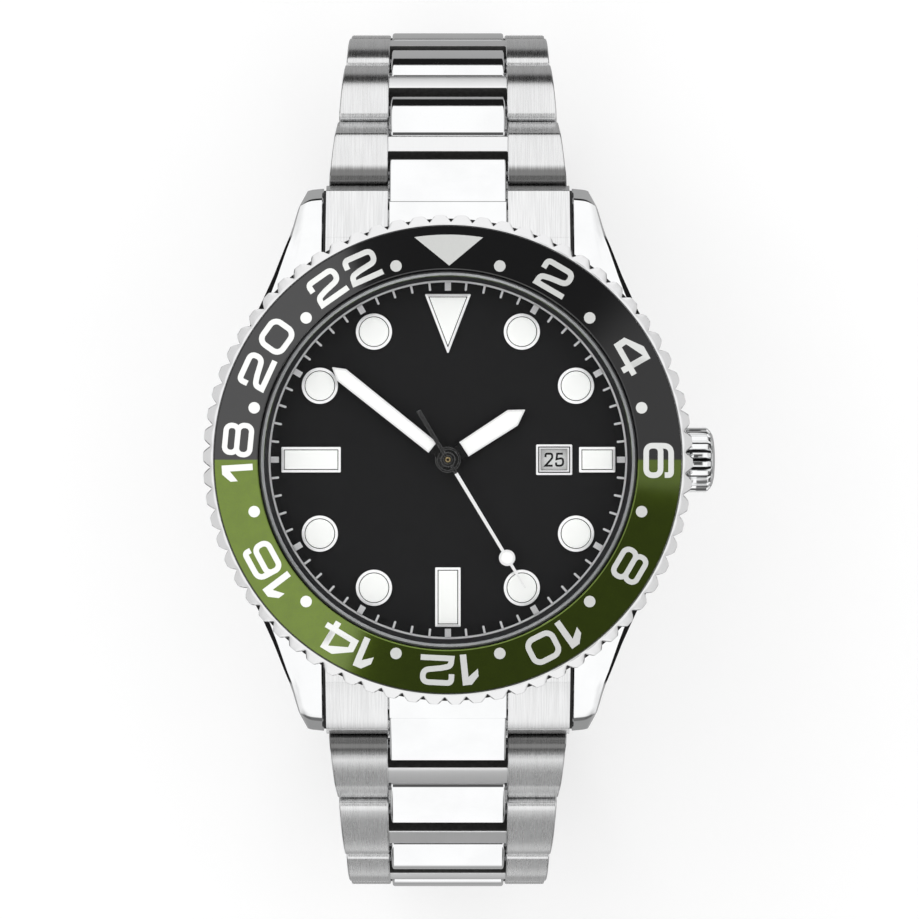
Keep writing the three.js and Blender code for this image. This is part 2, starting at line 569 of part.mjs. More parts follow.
// knuckles at the blade hinge, hooked tongue with a pin towards the 12 side
function innerBlade() {
  const [y, z] = BLADE_HINGE;
  const [low, high] = INNER_Z;
  const riser = [[y, z + 0.1], [y + 1.0, z + 0.1], [y + 2.2, low], [y + 2.2, high],
    [y + 0.8, high], [y, z + 0.9]];
  const hook = [[19.65, high], [19.65, END_Z - 0.3], [END_Y - 0.8, END_Z - 0.8],
    [END_Y, END_Z - 0.95], [END_Y + 0.62, END_Z - 0.66], [END_Y + 0.88, END_Z],
    [END_Y + 0.75, END_Z + 0.9], [END_Y, high]];
  let blade = block(across(6.6), [y + 1.4, 15.0], INNER_Z)
    .add(block(BLADE_NECK, [14.5, END_Y - 0.3], INNER_Z));
  for (const side of BOTH) {
    const knuckle = sided(side, [2.7, 6.6]);
    blade = blade.add(prismX(circle(BLADE_HINGE, 1.0), knuckle)).add(prismX(riser, knuckle));
  }
  return blade.subtract(rodX(across(7), BLADE_HINGE, HINGE_BORE_R))
    .add(prismX(hook, BLADE_NECK))
    .add(rodX(across(5.3), LAST_PIVOT, PIN_R));
}
add('clasp_inner_blade', innerBlade(), finish.blade);

for (const [place, side] of [['crown', 1], ['far', -1]]) {
  const button = block(sided(side, BUTTON_X), BUTTON_Y, BUTTON_Z);
  add(`clasp_button_${place}_side`, button, finish.button);
}

export default watch;
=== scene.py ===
# Dive watch on a steel bracelet that closes underneath with a folding clasp.
# The dial faces +Z around the Z axis, 12 o'clock is at +Y and the crown at +X.
# Sizes are millimetres; vertices are turned into metres as meshes are made.
import math
import bpy, bmesh
import numpy as np
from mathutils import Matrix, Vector
from mathutils.geometry import tessellate_polygon
from mathutils.kdtree import KDTree


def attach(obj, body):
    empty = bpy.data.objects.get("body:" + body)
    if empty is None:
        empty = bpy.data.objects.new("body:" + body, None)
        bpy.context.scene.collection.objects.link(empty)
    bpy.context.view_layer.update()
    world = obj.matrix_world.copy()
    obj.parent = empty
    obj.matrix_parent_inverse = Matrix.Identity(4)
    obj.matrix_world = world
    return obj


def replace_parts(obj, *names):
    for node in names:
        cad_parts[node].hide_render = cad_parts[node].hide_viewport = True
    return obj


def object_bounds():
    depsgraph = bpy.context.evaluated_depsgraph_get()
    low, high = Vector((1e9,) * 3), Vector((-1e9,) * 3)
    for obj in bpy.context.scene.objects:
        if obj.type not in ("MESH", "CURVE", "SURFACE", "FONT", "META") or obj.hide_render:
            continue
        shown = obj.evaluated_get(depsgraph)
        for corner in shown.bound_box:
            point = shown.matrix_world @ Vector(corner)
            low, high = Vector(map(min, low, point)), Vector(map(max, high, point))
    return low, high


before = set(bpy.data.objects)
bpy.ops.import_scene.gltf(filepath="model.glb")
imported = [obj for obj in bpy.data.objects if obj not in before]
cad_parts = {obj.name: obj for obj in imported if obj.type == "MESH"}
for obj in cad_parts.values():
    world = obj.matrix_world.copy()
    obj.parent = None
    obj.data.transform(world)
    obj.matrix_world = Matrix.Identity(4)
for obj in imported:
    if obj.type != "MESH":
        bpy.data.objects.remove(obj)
CAD_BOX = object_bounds()
MM = 0.001
rad = math.radians


# ---------------------------------------------------------------- shader nodes
def is_socket(value):
    return isinstance(value, bpy.types.NodeSocket)


class Tree:
    """Short ways to add nodes; inputs take either a value or a socket."""
    def __init__(self, tree):
        self.nodes = tree.nodes
        self.links = tree.links

    def new(self, kind, **props):
        node = self.nodes.new(kind)
        for key, value in props.items():
            setattr(node, key, value)
        return node

    def put(self, socket, value):
        if is_socket(value):
            self.links.new(value, socket)
        else:
            socket.default_value = value

    def feed(self, node, values):
        for key, value in values.items():
            self.put(node.inputs[key], value)

    def math(self, op, a, b=0.0, c=0.0):
        node = self.new("ShaderNodeMath", operation=op)
        self.feed(node, {0: a, 1: b})
        if op == "MULTIPLY_ADD":
            self.put(node.inputs[2], c)
        return node.outputs[0]

    def add(self, a, b):
        return self.math("ADD", a, b)

    def mul(self, a, b):
        return self.math("MULTIPLY", a, b)

    def affine(self, x, gain, offset):
        return self.math("MULTIPLY_ADD", x, gain, offset)

    def inverse(self, x):
        return self.math("SUBTRACT", 1.0, x)

    def hypot(self, x, y):
        return self.math("SQRT", self.add(self.math("POWER", x, 2.0), self.math("POWER", y, 2.0)))

    def step(self, x, start, end, low=0.0, high=1.0):
        """smooth change from low to high while x runs from start to end"""
        node = self.new("ShaderNodeMapRange", interpolation_type="SMOOTHSTEP")
        self.feed(node, dict(enumerate((x, start, end, low, high))))
        return node.outputs[0]

    def mix(self, factor, a, b):
        node = self.new("ShaderNodeMix", data_type="RGBA")
        a, b = (c if is_socket(c) else (*c, 1.0) for c in (a, b))
        self.feed(node, {0: factor, 6: a, 7: b})
        return node.outputs[2]

    def noise(self, vec, scale, detail=3, rough=0.6):
        node = self.new("ShaderNodeTexNoise")
        self.feed(node, {"Vector": vec, "Scale": scale, "Detail": detail, "Roughness": rough})
        return node.outputs["Fac"]

    def mapping(self, scale=(1, 1, 1), rot=(0, 0, 0)):
        coords = self.new("ShaderNodeTexCoord")
        node = self.new("ShaderNodeMapping")
        self.feed(node, {"Vector": coords.outputs["Object"], "Scale": scale, "Rotation": rot})
        return node.outputs[0]

    def xyz(self, coord="Object"):
        sep = self.new("ShaderNodeSeparateXYZ")
        self.put(sep.inputs[0], self.new("ShaderNodeTexCoord").outputs[coord])
        return sep.outputs

    def turned(self, angle_gain=0.0):
        """coordinates that follow the radius, so that noise runs in rings round z"""
        x, y, _ = self.xyz()
        comb = self.new("ShaderNodeCombineXYZ")
        self.put(comb.inputs[0], self.hypot(x, y))
        if angle_gain:
            self.put(comb.inputs[1], self.mul(self.math("ARCTAN2", y, x), angle_gain))
        return comb.outputs[0]

    def bump(self, height, strength, distance):
        node = self.new("ShaderNodeBump")
        self.feed(node, {"Height": height, "Strength": strength, "Distance": distance})
        return node.outputs[0]


def material(name):
    mat = bpy.data.materials.new(name)
    mat.use_nodes = True
    tree = Tree(mat.node_tree)
    bsdf = next(n for n in tree.nodes if n.type == "BSDF_PRINCIPLED")
    return mat, tree, bsdf


def dimmed(color, gain):
    return [c * gain for c in color]


def polished(name, color, rough, shade_map=False):
    """Mirror steel with faint smudges. The last argument turns on painted shade: a speckled
    near-black tint where the mesh stores the depth of deep cuts.
    """
    mat, tree, bsdf = material(name)
    smudge = tree.noise(tree.mapping(), scale=180)
    fine = tree.noise(tree.mapping((1, 0.06, 0.3), rot=(0, 0, 0.5)), 9000, detail=2, rough=0.5)
    steel = tree.mix(tree.step(smudge, 0.35, 0.7), color, dimmed(color, 0.96))
    if shade_map:
        # painted shade: near-black in deep cuts, speckled by noise, read from the depth stored per
        # vertex
        depth = tree.new("ShaderNodeAttribute", attribute_name="shade_map").outputs["Fac"]
        spots = tree.noise(tree.mapping(), scale=2500)
        painted_shade = tree.step(tree.affine(spots, 0.15, depth), 0.50, 0.95)
        steel = tree.mix(painted_shade, steel, (0.02, 0.02, 0.021))
    tree.feed(bsdf, {
        "Metallic": 1.0, "Base Color": steel,
        "Roughness": tree.affine(smudge, gain=0.035, offset=rough - 0.015),
        "Normal": tree.bump(fine, strength=0.06, distance=0.00002)})
    return mat


def brushed(name, color=(0.82, 0.822, 0.825), rough=0.27, axis="y", strength=0.35,
            vary=0.15, end=None):
    """Fine parallel grain. axis y: along the bracelet; flank: the same on walls that face
    sideways; z: turned. end: (y, z, slope) of a pin; the end of the link at that pin is
    painted shade, near-black and fading out along the link."""
    mat, tree, bsdf = material(name)
    if axis == "y":
        fine_at, broad_at = tree.mapping((1, 0.02, 0.02)), tree.mapping((1, 0.05, 0.05))
    elif axis == "flank":
        fine_at, broad_at = tree.mapping((0.02, 0.02, 1)), tree.mapping((0.05, 0.05, 1))
    else:
        fine_at = broad_at = tree.turned(angle_gain=0.0006)
    fine = tree.noise(fine_at, scale=11000)
    broad = tree.noise(broad_at, scale=1500, detail=4, rough=0.65)
    wear = tree.noise(tree.mapping(), scale=320, detail=4)
    grain = tree.add(tree.mul(fine, 0.68), tree.mul(broad, 0.32))
    steel = tree.mix(tree.step(grain, 0.36, 0.66), dimmed(color, 1 - vary), color)
    if end:
        pin_y, pin_z, slope = end
        cos, sin = math.cos(rad(slope)), math.sin(rad(slope))
        _, y, z = tree.xyz()
        # distance along the link from its pin, roughened by the grain
        along = tree.math("SUBTRACT", tree.mul(tree.math("ABSOLUTE", y), cos / MM),
                          tree.mul(z, sin / MM))
        along = tree.math("SUBTRACT", along, pin_y * cos - pin_z * sin)
        along = tree.affine(grain, 0.5, along)
        # painted shade: mostly near-black at the pin end of the link, fading out within about 0.6
        # mm
        steel = tree.mix(tree.step(along, -0.35, 0.62, low=0.80, high=0.0), steel,
                         (0.05, 0.048, 0.046))
    tree.feed(bsdf, {
        "Metallic": 1.0, "Base Color": steel,
        "Roughness": tree.add(tree.affine(grain, gain=0.14, offset=rough - 0.09),
                              tree.mul(wear, 0.05)),
        "Normal": tree.bump(grain, strength, distance=0.00004)})
    if axis == "y":
        # the grain spreads light across itself, and keeps it sharp along itself
        tangent = tree.new("ShaderNodeCombineXYZ")
        tangent.inputs[0].default_value = 1.0
        tree.feed(bsdf, {"Anisotropic": 0.85, "Tangent": tangent.outputs[0]})
    return mat


def anodised(name, color, rough, metallic, coat_ior):
    """Dyed insert under a clear glossy coat, with a faint turned grain below it."""
    mat, tree, bsdf = material(name)
    grain = tree.noise(tree.turned(), scale=14000)
    mottle = tree.noise(tree.mapping(), scale=900, rough=0.5)
    tree.feed(bsdf, {
        "Metallic": metallic, "Coat Weight": 1.0, "Coat IOR": coat_ior, "Coat Roughness": 0.04,
        "Base Color": tree.mix(tree.step(mottle, 0.3, 0.75), color, dimmed(color, 0.9)),
        "Roughness": tree.affine(grain, gain=0.06, offset=rough - 0.03),
        "Normal": tree.bump(grain, strength=0.05, distance=0.00001)})
    return mat


def painted(name, color, rough, spec=0.4, grain=0.0, scale=6000, metallic=0.0, vary=0.08,
            coat=0.0, painted_light=0.0, painted_light_color=(1, 1, 1)):
    """Plain colour that varies a little; grain is the strength of its bumps; the last two arguments
    add painted light, a faint glow that brightens it.
    """
    mat, tree, bsdf = material(name)
    noise = tree.noise(tree.mapping(), scale)
    light = [min(1, c * (1 + vary)) for c in color]
    tree.feed(bsdf, {
        "Metallic": metallic, "Specular IOR Level": spec,
        "Base Color": tree.mix(tree.step(noise, 0.3, 0.7), dimmed(color, 1 - vary), light),
        "Roughness": tree.affine(noise, gain=0.1, offset=rough - 0.05)})
    if coat:
        tree.feed(bsdf, {"Coat Weight": coat, "Coat Roughness": 0.08})
    if grain:
        tree.put(bsdf.inputs["Normal"], tree.bump(noise, grain, distance=0.00003))
    # painted light: a faint emission that brightens the surface
    if painted_light:
        tree.feed(bsdf, {"Emission Color": (*painted_light_color, 1), "Emission Strength": painted_light})
    return mat


def glass(name, ground):
    """Clear crystal, or its ground and lightly polished rim."""
    mat, tree, bsdf = material(name)
    out = next(n for n in tree.nodes if n.type == "OUTPUT_MATERIAL")
    tree.nodes.remove(bsdf)
    tint = 0.10 if ground else 0.0
    clear = tree.new("ShaderNodeBsdfTransparent")
    clear.inputs[0].default_value = (1 - tint, 1 - tint, 1 - tint * 0.9, 1)
    glossy = tree.new("ShaderNodeBsdfGlossy")
    if ground:
        rough = 0.25
        noise = tree.noise(tree.mapping(), scale=1400, detail=2, rough=0.5)
        share = tree.affine(noise, gain=0.10, offset=0.26)
    else:
        rough = tree.affine(tree.noise(tree.mapping(), scale=90), gain=0.03, offset=0.01)
        fresnel = tree.new("ShaderNodeFresnel")
        fresnel.inputs["IOR"].default_value = 1.5
        share = tree.mul(fresnel.outputs[0], 0.32)
    tree.feed(glossy, {"Color": (0.96, 0.98, 1.0, 1), "Roughness": rough})
    mixed = tree.new("ShaderNodeMixShader")
    tree.feed(mixed, {0: share, 1: clear.outputs[0], 2: glossy.outputs[0]})
    tree.put(out.inputs[0], mixed.outputs[0])
    return mat


M = {
    "polished": polished("steel_polished", (0.88, 0.885, 0.89), rough=0.05),
    "bezel": polished("steel_bezel", (0.79, 0.79, 0.795), rough=0.10, shade_map=True),
    "crown": polished("steel_crown", (0.88, 0.885, 0.89), rough=0.06, shade_map=True),
    "brushed": brushed("steel_brushed_along"),
    "satin": brushed("steel_satin_fine", (0.84, 0.842, 0.845), rough=0.22, strength=0.14),
    "bar": brushed("steel_bar", (0.86, 0.862, 0.865), rough=0.30, strength=0.01, vary=0.02),
    # near-black steel for walls in the gaps: painted shade
    "painted_shade": painted("steel_painted_shade", (0.045, 0.044, 0.043), rough=0.42, grain=0.1, scale=3000,
                    metallic=0.5, vary=0.2),
    # pins in dark steel: painted shade in the gaps between the links
    "pin": polished("steel_pin_shaded", (0.17, 0.17, 0.175), rough=0.25),
    "flank": brushed("steel_flank", rough=0.25, axis="flank", strength=0.3),
    "turned": brushed("steel_turned", (0.80, 0.80, 0.805), rough=0.24, axis="z", strength=0.3),
    "blade": brushed("steel_blade", (0.78, 0.785, 0.79), rough=0.20, strength=0.2),
    "bare": polished("steel_bare", (0.72, 0.725, 0.73), rough=0.18),
    "black": anodised("insert_black", (0.010, 0.010, 0.0108), rough=0.08, metallic=0.6,
                      coat_ior=1.62),
    "green": anodised("insert_green", (0.132, 0.205, 0.008), rough=0.07, metallic=0.92,
                      coat_ior=1.58),
    "insert_print": painted("insert_print", (0.89, 0.90, 0.88), rough=0.10, spec=0.5, grain=0.03,
                            scale=5000, metallic=0.38, vary=0.015),
    "dial": painted("dial_black", (0.0085, 0.0085, 0.0092), rough=0.62, spec=0.22, grain=0.08,
                    scale=9000, vary=0.12),
    "dial_print": painted("dial_print", (0.88, 0.88, 0.89), rough=0.5, spec=0.3, grain=0.05,
                          vary=0.03),
    # lume glows faintly: painted light
    "lume": painted("lume", (0.92, 0.925, 0.91), rough=0.6, spec=0.2, grain=0.2, scale=7000,
                    vary=0.015, painted_light=0.23, painted_light_color=(0.97, 1.0, 0.97)),
    # marker frames glow faintly: painted light
    "frame": painted("marker_frame", (0.97, 0.97, 0.975), rough=0.16, spec=0.6, grain=0.02,
                     scale=5000, metallic=0.30, vary=0.01, painted_light=0.14),
    "hand": painted("hand_frame", (0.95, 0.95, 0.95), rough=0.35, scale=4000, vary=0.02),
    "hub": painted("hub_black", (0.007, 0.007, 0.007), rough=0.14, spec=0.5, scale=1500,
                   vary=0.05, coat=0.7),
    "brass": polished("brass", (0.80, 0.64, 0.36), rough=0.22),
    # date disc glows faintly: painted light
    "date": painted("date_disc", (0.80, 0.805, 0.80), rough=0.35, grain=0.08, scale=9000,
                    metallic=0.05, vary=0.05, painted_light=0.10),
    "ink": painted("date_ink", (0.010, 0.010, 0.010), rough=0.5, spec=0.3),
    "rehaut": painted("rehaut_black", (0.010, 0.010, 0.012), rough=0.30, spec=0.5, scale=4000),
    "gasket": painted("gasket_nylon", (0.028, 0.028, 0.030), rough=0.3, spec=0.5, grain=0.1,
                      scale=2500),
    # near-black steel: painted shade under the bezel and in the gaps beside the end links
    "seat": painted("seat_blackened", (0.012, 0.012, 0.012), rough=0.5, spec=0.3, grain=0.2,
                    scale=2500),
    "rubber": painted("rubber", (0.018, 0.018, 0.018), rough=0.7, spec=0.3, grain=0.4, scale=3000),
    "plastic": painted("holder_plastic", (0.72, 0.71, 0.66), rough=0.5, grain=0.2, scale=2500),
    "crystal": glass("crystal_clear", ground=False),
    "crystal_edge": glass("crystal_edge", ground=True),
}


# ---------------------------------------------------------------- objects from shapes
# A shape is a pair (vertices, faces).
def raw(name, shape, check=False):
    """bare object of a closed shape, with its normals outward"""
    mesh = bpy.data.meshes.new(name)
    mesh.from_pydata([tuple(c * MM for c in v) for v in shape[0]], [], shape[1])
    if check:
        mesh.validate()
    bm = bmesh.new()
    bm.from_mesh(mesh)
    bmesh.ops.remove_doubles(bm, verts=bm.verts, dist=1e-7)
    bmesh.ops.recalc_face_normals(bm, faces=bm.faces)
    if bm.calc_volume(signed=True) < 0:
        bmesh.ops.reverse_faces(bm, faces=bm.faces)
    bm.to_mesh(mesh)
    bm.free()
    return linked(name, mesh)


def linked(name, data):
    ob = bpy.data.objects.new(name, data)
    bpy.context.scene.collection.objects.link(ob)
    return ob


def dress(ob, mats, body, repl=(), slot=None, bevel=0.0, segs=3, angle=30):
    mesh = ob.data
    mesh.materials.clear()
    for mat in mats if isinstance(mats, list) else [mats]:
        mesh.materials.append(mat)
    mesh.polygons.foreach_set("use_smooth", [True] * len(mesh.polygons))
    if bevel:
        mod = ob.modifiers.new("bevel", "BEVEL")
        mod.width = bevel * MM
        mod.segments = segs
        mod.limit_method = "ANGLE"
        mod.angle_limit = rad(angle)
        mod.miter_outer = "MITER_ARC"
        normals = ob.modifiers.new("normals", "WEIGHTED_NORMAL")
        normals.keep_sharp = True
        normals.weight = 60
    else:
        mesh.set_sharp_from_angle(angle=rad(angle))
    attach(ob, body)
    if repl:
        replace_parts(ob, *repl)
    return ob


def make(name, shape, mats, body, repl=(), slot=None, **look):
    return dress(raw(name, shape, check=True), mats, body, repl, slot, **look)


def boolean(ob, shape, op="UNION"):
    """joins a shape to ob, or cuts it away; the shape may be an object, which goes"""
    tool = raw("tmp", shape) if isinstance(shape, tuple) else shape
    mod = ob.modifiers.new("b", "BOOLEAN")
    mod.object = tool
    mod.operation = op
    mod.solver = "EXACT"
    graph = bpy.context.evaluated_depsgraph_get()
    mesh = bpy.data.meshes.new_from_object(ob.evaluated_get(graph))
    ob.modifiers.remove(mod)
    ob.data = mesh
    bpy.data.objects.remove(tool)


def solid_of(name, parts, mats, body, repl=(), slot=None, cuts=(), **look):
    """joins closed parts into one solid, cuts others away, then dresses it"""
    ob = raw(name, parts[0])
    for part in parts[1:]:
        boolean(ob, part)
    for cut in cuts:
        boolean(ob, cut, "DIFFERENCE")
    bm = bmesh.new()
    bm.from_mesh(ob.data)
    bmesh.ops.remove_doubles(bm, verts=bm.verts, dist=2e-7)
    bmesh.ops.dissolve_limit(bm, angle_limit=rad(0.5), verts=bm.verts, edges=bm.edges)
    bm.to_mesh(ob.data)
    bm.free()
    return dress(ob, mats, body, repl, slot, **look)


def merge(obs, name, mat, body, slot, angle=30):
    """gathers separate objects into one"""
    bm = bmesh.new()
    for ob in obs:
        bm.from_mesh(ob.data)
        bpy.data.objects.remove(ob)
    mesh = bpy.data.meshes.new(name)
    bm.to_mesh(mesh)
    bm.free()
    return dress(linked(name, mesh), mat, body, slot=slot, angle=angle)


def second_material(ob, chosen):
    for poly in ob.data.polygons:
        if chosen(poly):
            poly.material_index = 1


def faces_sideways(poly):
    return abs(poly.normal.x) > 0.9


def store_cavity(ob, points, shade_depths):
    """gives each vertex the painted-shade depth of the nearest computed point"""
    tree = KDTree(len(points))
    for i, p in enumerate(points):
        tree.insert([c * MM for c in p], i)
    tree.balance()
    attribute = ob.data.attributes.new("shade_map", "FLOAT", "POINT")
    values = [shade_depths[tree.find(v.co)[1]] for v in ob.data.vertices]
    attribute.data.foreach_set("value", values)


# ---------------------------------------------------------------- solid shapes
def putx(p, x):
    """outline in (y, z), pushed along x"""
    return (x, p[0], p[1])


def putz(p, z):
    """outline in (x, y), pushed along z"""
    return (p[0], p[1], z)


def prism(poly, low, high, put):
    n = len(poly)
    verts = [put(p, low) for p in poly] + [put(p, high) for p in poly]
    faces = [list(range(n))[::-1], list(range(n, 2 * n))]
    faces += [[i, (i + 1) % n, n + (i + 1) % n, n + i] for i in range(n)]
    return verts, faces


def prism_holes(outer, holes, low, high, put):
    loops = [outer] + list(holes)
    pts = [p for loop in loops for p in loop]
    tris = tessellate_polygon([[Vector((p[0], p[1], 0)) for p in loop] for loop in loops])
    n = len(pts)
    verts = [put(p, low) for p in pts] + [put(p, high) for p in pts]
    faces = [[a, b, c] for a, b, c in tris] + [[c + n, b + n, a + n] for a, b, c in tris]
    start = 0
    for loop in loops:
        m = len(loop)
        for i in range(m):
            a, b = start + i, start + (i + 1) % m
            faces.append([a, b, n + b, n + a])
        start += m
    return verts, faces


def lathe(profile, seg, closed=True, axis="z", at=(0, 0, 0)):
    """turns (radius, height) points round an axis z or x that passes through at"""
    verts, faces, rings = [], [], []

    def place(a, b, h):
        p = (a, b, h) if axis == "z" else (h, a, b)
        return tuple(c + d for c, d in zip(p, at))

    for r, h in profile:
        if r < 1e-9:
            rings.append([len(verts)] * seg)
            verts.append(place(0, 0, h))
            continue
        rings.append(list(range(len(verts), len(verts) + seg)))
        for k in range(seg):
            a = 2 * math.pi * k / seg
            verts.append(place(r * math.cos(a), r * math.sin(a), h))
    for i in range(len(rings) if closed else len(rings) - 1):
        a, b = rings[i], rings[(i + 1) % len(rings)]
        for k in range(seg):
            j = (k + 1) % seg
            face = list(dict.fromkeys((a[k], a[j], b[j], b[k])))
            if len(face) >= 3:
                faces.append(face)
    return verts, faces


def loft(loops, ring=False):
    """skin over loops of equal length; capped, or with its last loop joined to the first"""
    n, count = len(loops[0]), len(loops)
    verts = [p for loop in loops for p in loop]
    faces = []
    for i in range(count if ring else count - 1):
        a, b = i * n, (i + 1) % count * n
        faces += [[a + k, a + (k + 1) % n, b + (k + 1) % n, b + k] for k in range(n)]
    if not ring:
        faces.append(list(range(n))[::-1])
        faces.append(list(range((count - 1) * n, count * n)))
    return verts, faces


def sweep(section, start, end, steps):
    """(radius, z) section swept about z between two angles in degrees"""
    loops = []
    for k in range(steps + 1):
        a = rad(start + (end - start) * k / steps)
        loops.append([(r * math.cos(a), r * math.sin(a), z) for r, z in section])
    return loft(loops)


def box(x0, x1, y0, y1, z0, z1):
    return prism([(y0, z0), (y1, z0), (y1, z1), (y0, z1)], x0, x1, putx)


def span(sign, a, b):
    return sorted((sign * a, sign * b))


def mirror(pts, s):
    return [(s * y, z) for y, z in pts]


def rod(centre, r, x0, x1, n=28, s=1):
    """bar along x; s = -1 mirrors it to the other side of y = 0"""
    return prism(mirror(circle(*centre, r, n), s), x0, x1, putx)


# ---------------------------------------------------------------- flat outlines
def circle(cx, cy, r, n):
    angles = [2 * math.pi * k / n for k in range(n)]
    return [(cx + r * math.cos(a), cy + r * math.sin(a)) for a in angles]


def rect(cx, cy, w, h):
    x0, x1, y0, y1 = cx - w / 2, cx + w / 2, cy - h / 2, cy + h / 2
    return [(x0, y0), (x1, y0), (x1, y1), (x0, y1)]


def turned(pts, angle):
    """turns points counter-clockwise by an angle in radians"""
    cos, sin = math.cos(angle), math.sin(angle)
    return [(x * cos - y * sin, x * sin + y * cos) for x, y in pts]


def corner(p0, p, p1):
    """arms of the corner at p, their lengths, and the angle between them"""
    a, b = p0 - p, p1 - p
    la, lb = a.length, b.length
    a.normalize()
    b.normalize()
    return a, b, la, lb, math.acos(max(-1, min(1, a.dot(b))))


def round_poly(pts, r, n=5):
    """rounds the corners of a closed polygon; r is one radius or a list"""
    out = []
    m = len(pts)
    for i in range(m):
        p0, p, p1 = Vector(pts[i - 1]), Vector(pts[i]), Vector(pts[(i + 1) % m])
        ri = r[i] if isinstance(r, list) else r
        a, b, la, lb, ang = corner(p0, p, p1)
        if ri < 1e-6 or ang > math.pi - 0.05:
            out.append((p.x, p.y))
            continue
        d = min(ri / math.tan(ang / 2), la * 0.48, lb * 0.48)
        fit = d * math.tan(ang / 2)
        c = p + (a + b).normalized() * (fit / math.sin(ang / 2))
        s, e = p + a * d, p + b * d
        a0 = math.atan2(s.y - c.y, s.x - c.x)
        a1 = math.atan2(e.y - c.y, e.x - c.x)
        while a1 - a0 > math.pi:
            a1 -= 2 * math.pi
        while a1 - a0 < -math.pi:
            a1 += 2 * math.pi
        for k in range(n + 1):
            t = a0 + (a1 - a0) * k / n
            out.append((c.x + fit * math.cos(t), c.y + fit * math.sin(t)))
    return out


def round_rect(x0, y0, x1, y1, r, n=7):
    return round_poly([(x0, y0), (x1, y0), (x1, y1), (x0, y1)], r, n)


def soft(path, r, n=6):
    """rounds the inner corners of an open path with parabolas"""
    out = [path[0]]
    for i in range(1, len(path) - 1):
        p = Vector(path[i])
        ri = r[i] if isinstance(r, list) else r
        if ri <= 0:
            out.append((p.x, p.y))
            continue
        a, b, la, lb, ang = corner(Vector(path[i - 1]), p, Vector(path[i + 1]))
        d = min(ri / math.tan(ang / 2), la * 0.5, lb * 0.5)
        q0, q1 = p + a * d, p + b * d
        for k in range(n + 1):
            t = k / n
            q = q0 * (1 - t) ** 2 + p * 2 * t * (1 - t) + q1 * t ** 2
            out.append((q.x, q.y))
    out.append(path[-1])
    return out


def stroke(path, w, closed=False):
    """ribbon of width w along a path, as (outline, hole or None)"""
    n = len(path)
    left, right = [], []
    for i in range(n):
        p = Vector(path[i])
        if closed:
            a, b = Vector(path[i - 1]), Vector(path[(i + 1) % n])
        else:
            a, b = Vector(path[max(i - 1, 0)]), Vector(path[min(i + 1, n - 1)])
        d0 = (p - a).normalized() if (p - a).length > 1e-9 else (b - p).normalized()
        d1 = (b - p).normalized() if (b - p).length > 1e-9 else d0
        n0, n1 = Vector((-d0.y, d0.x)), Vector((-d1.y, d1.x))
        nn = (n0 + n1).normalized()
        k = w / 2 / max(0.35, nn.dot(n1))
        left.append((p.x + nn.x * k, p.y + nn.y * k))
        right.append((p.x - nn.x * k, p.y - nn.y * k))
    return (left, right) if closed else (left + right[::-1], None)


def inset(poly, d):
    """moves every side of a convex counter-clockwise polygon inward by d"""
    if not d:
        return list(poly)
    out = []
    m = len(poly)
    for i in range(m):
        p0, p, p1 = Vector(poly[i - 1]), Vector(poly[i]), Vector(poly[(i + 1) % m])
        d0, d1 = (p - p0).normalized(), (p1 - p).normalized()
        n0, n1 = Vector((-d0.y, d0.x)), Vector((-d1.y, d1.x))
        bend = 1 + n0.dot(n1)
        nn = (n0 + n1) / bend if bend > 1e-6 else n0
        q = p + nn * d
        out.append((q.x, q.y))
    return out


def at_height(pts, z):
    return [(x, y, z) for x, y in pts]


# ---------------------------------------------------------------- bracelet
SIDES = ((12, 1), (6, -1))                       # o'clock, sign of y
SLOPES = [38, 41, 46, 52, 61, 71, 81, 95, 108, 120, 131, 142, 152, 161]   # fall, degrees
CENTRE_PITCH, OUTER_PITCH = 3.4, 5.2
# outer rows: overall width at both ends of each link
WIDTHS = [(21.3, 19.95), (19.75, 18.85), (18.7, 18.2), (18.15, 18.05), (18.02, 18.0),
          (18.0, 18.0), (18.0, 18.0)]
CENTRE_WIDTH = 10.38
SLOT = 5.36                                      # half the space between the outer rows
PIN_R = 0.5
PIN_REACH = SLOT + 0.2
FIRST_PIN = (22.8, 3.0)                          # (y, z)
pivots = [FIRST_PIN]
for i, slope in enumerate(SLOPES):
    y, z = pivots[-1]
    pitch = OUTER_PITCH if i % 2 else CENTRE_PITCH
    pivots.append((y + pitch * math.cos(rad(slope)), z - pitch * math.sin(rad(slope))))
END_Y, END_Z = pivots[-1]
# the first outer links get painted shade at their end next to the case
M["brushed_first"] = brushed("steel_brushed_first", end=(*pivots[1], SLOPES[1]))

# Link outlines run in (u, n): along the link from its first pin, and outward.
CENTRE_UNDERSIDE = [(-1.18, -0.68), (-1.2, 0.0), (-1.16, -0.5), (-0.98, -0.95),
                    (-0.62, -1.26), (-0.2, -1.38)]
BAR_SECTION = [(3.68, 1.385), (3.2, 1.37), (2.7, 1.345), (2.2, 1.305), (1.84, 1.26),
               (1.84, -1.40), (3.68, -1.40)]


def closed_profile(top, left, right, pitch):
    """counter-clockwise outline; right is given as seen from the other pin"""
    return top[::-1] + left + [(pitch - u, n) for u, n in right][::-1]


def centre_profile(first):
    """crowned top, rounded ends, flat underside; flatter and longer on the first link"""
    crown_r, reach = (15.0, 0.98) if first else (8.0, 0.72)
    top = []
    for i in range(19):
        u = -reach + (CENTRE_PITCH + 2 * reach) * i / 18
        top.append((u, 1.46 - (u - CENTRE_PITCH / 2) ** 2 / (2 * crown_r)))
    edge = top[0][1]
    if first:
        shoulder = [(-1.08, edge - 0.12), (-1.15, edge - 0.32)]
    else:
        shoulder = [(-0.95, edge - 0.16), (-1.1, edge - 0.38)]
    left = shoulder + [(-1.18, edge - 0.68)] + CENTRE_UNDERSIDE[1:]
    return closed_profile(top, left, left, CENTRE_PITCH)


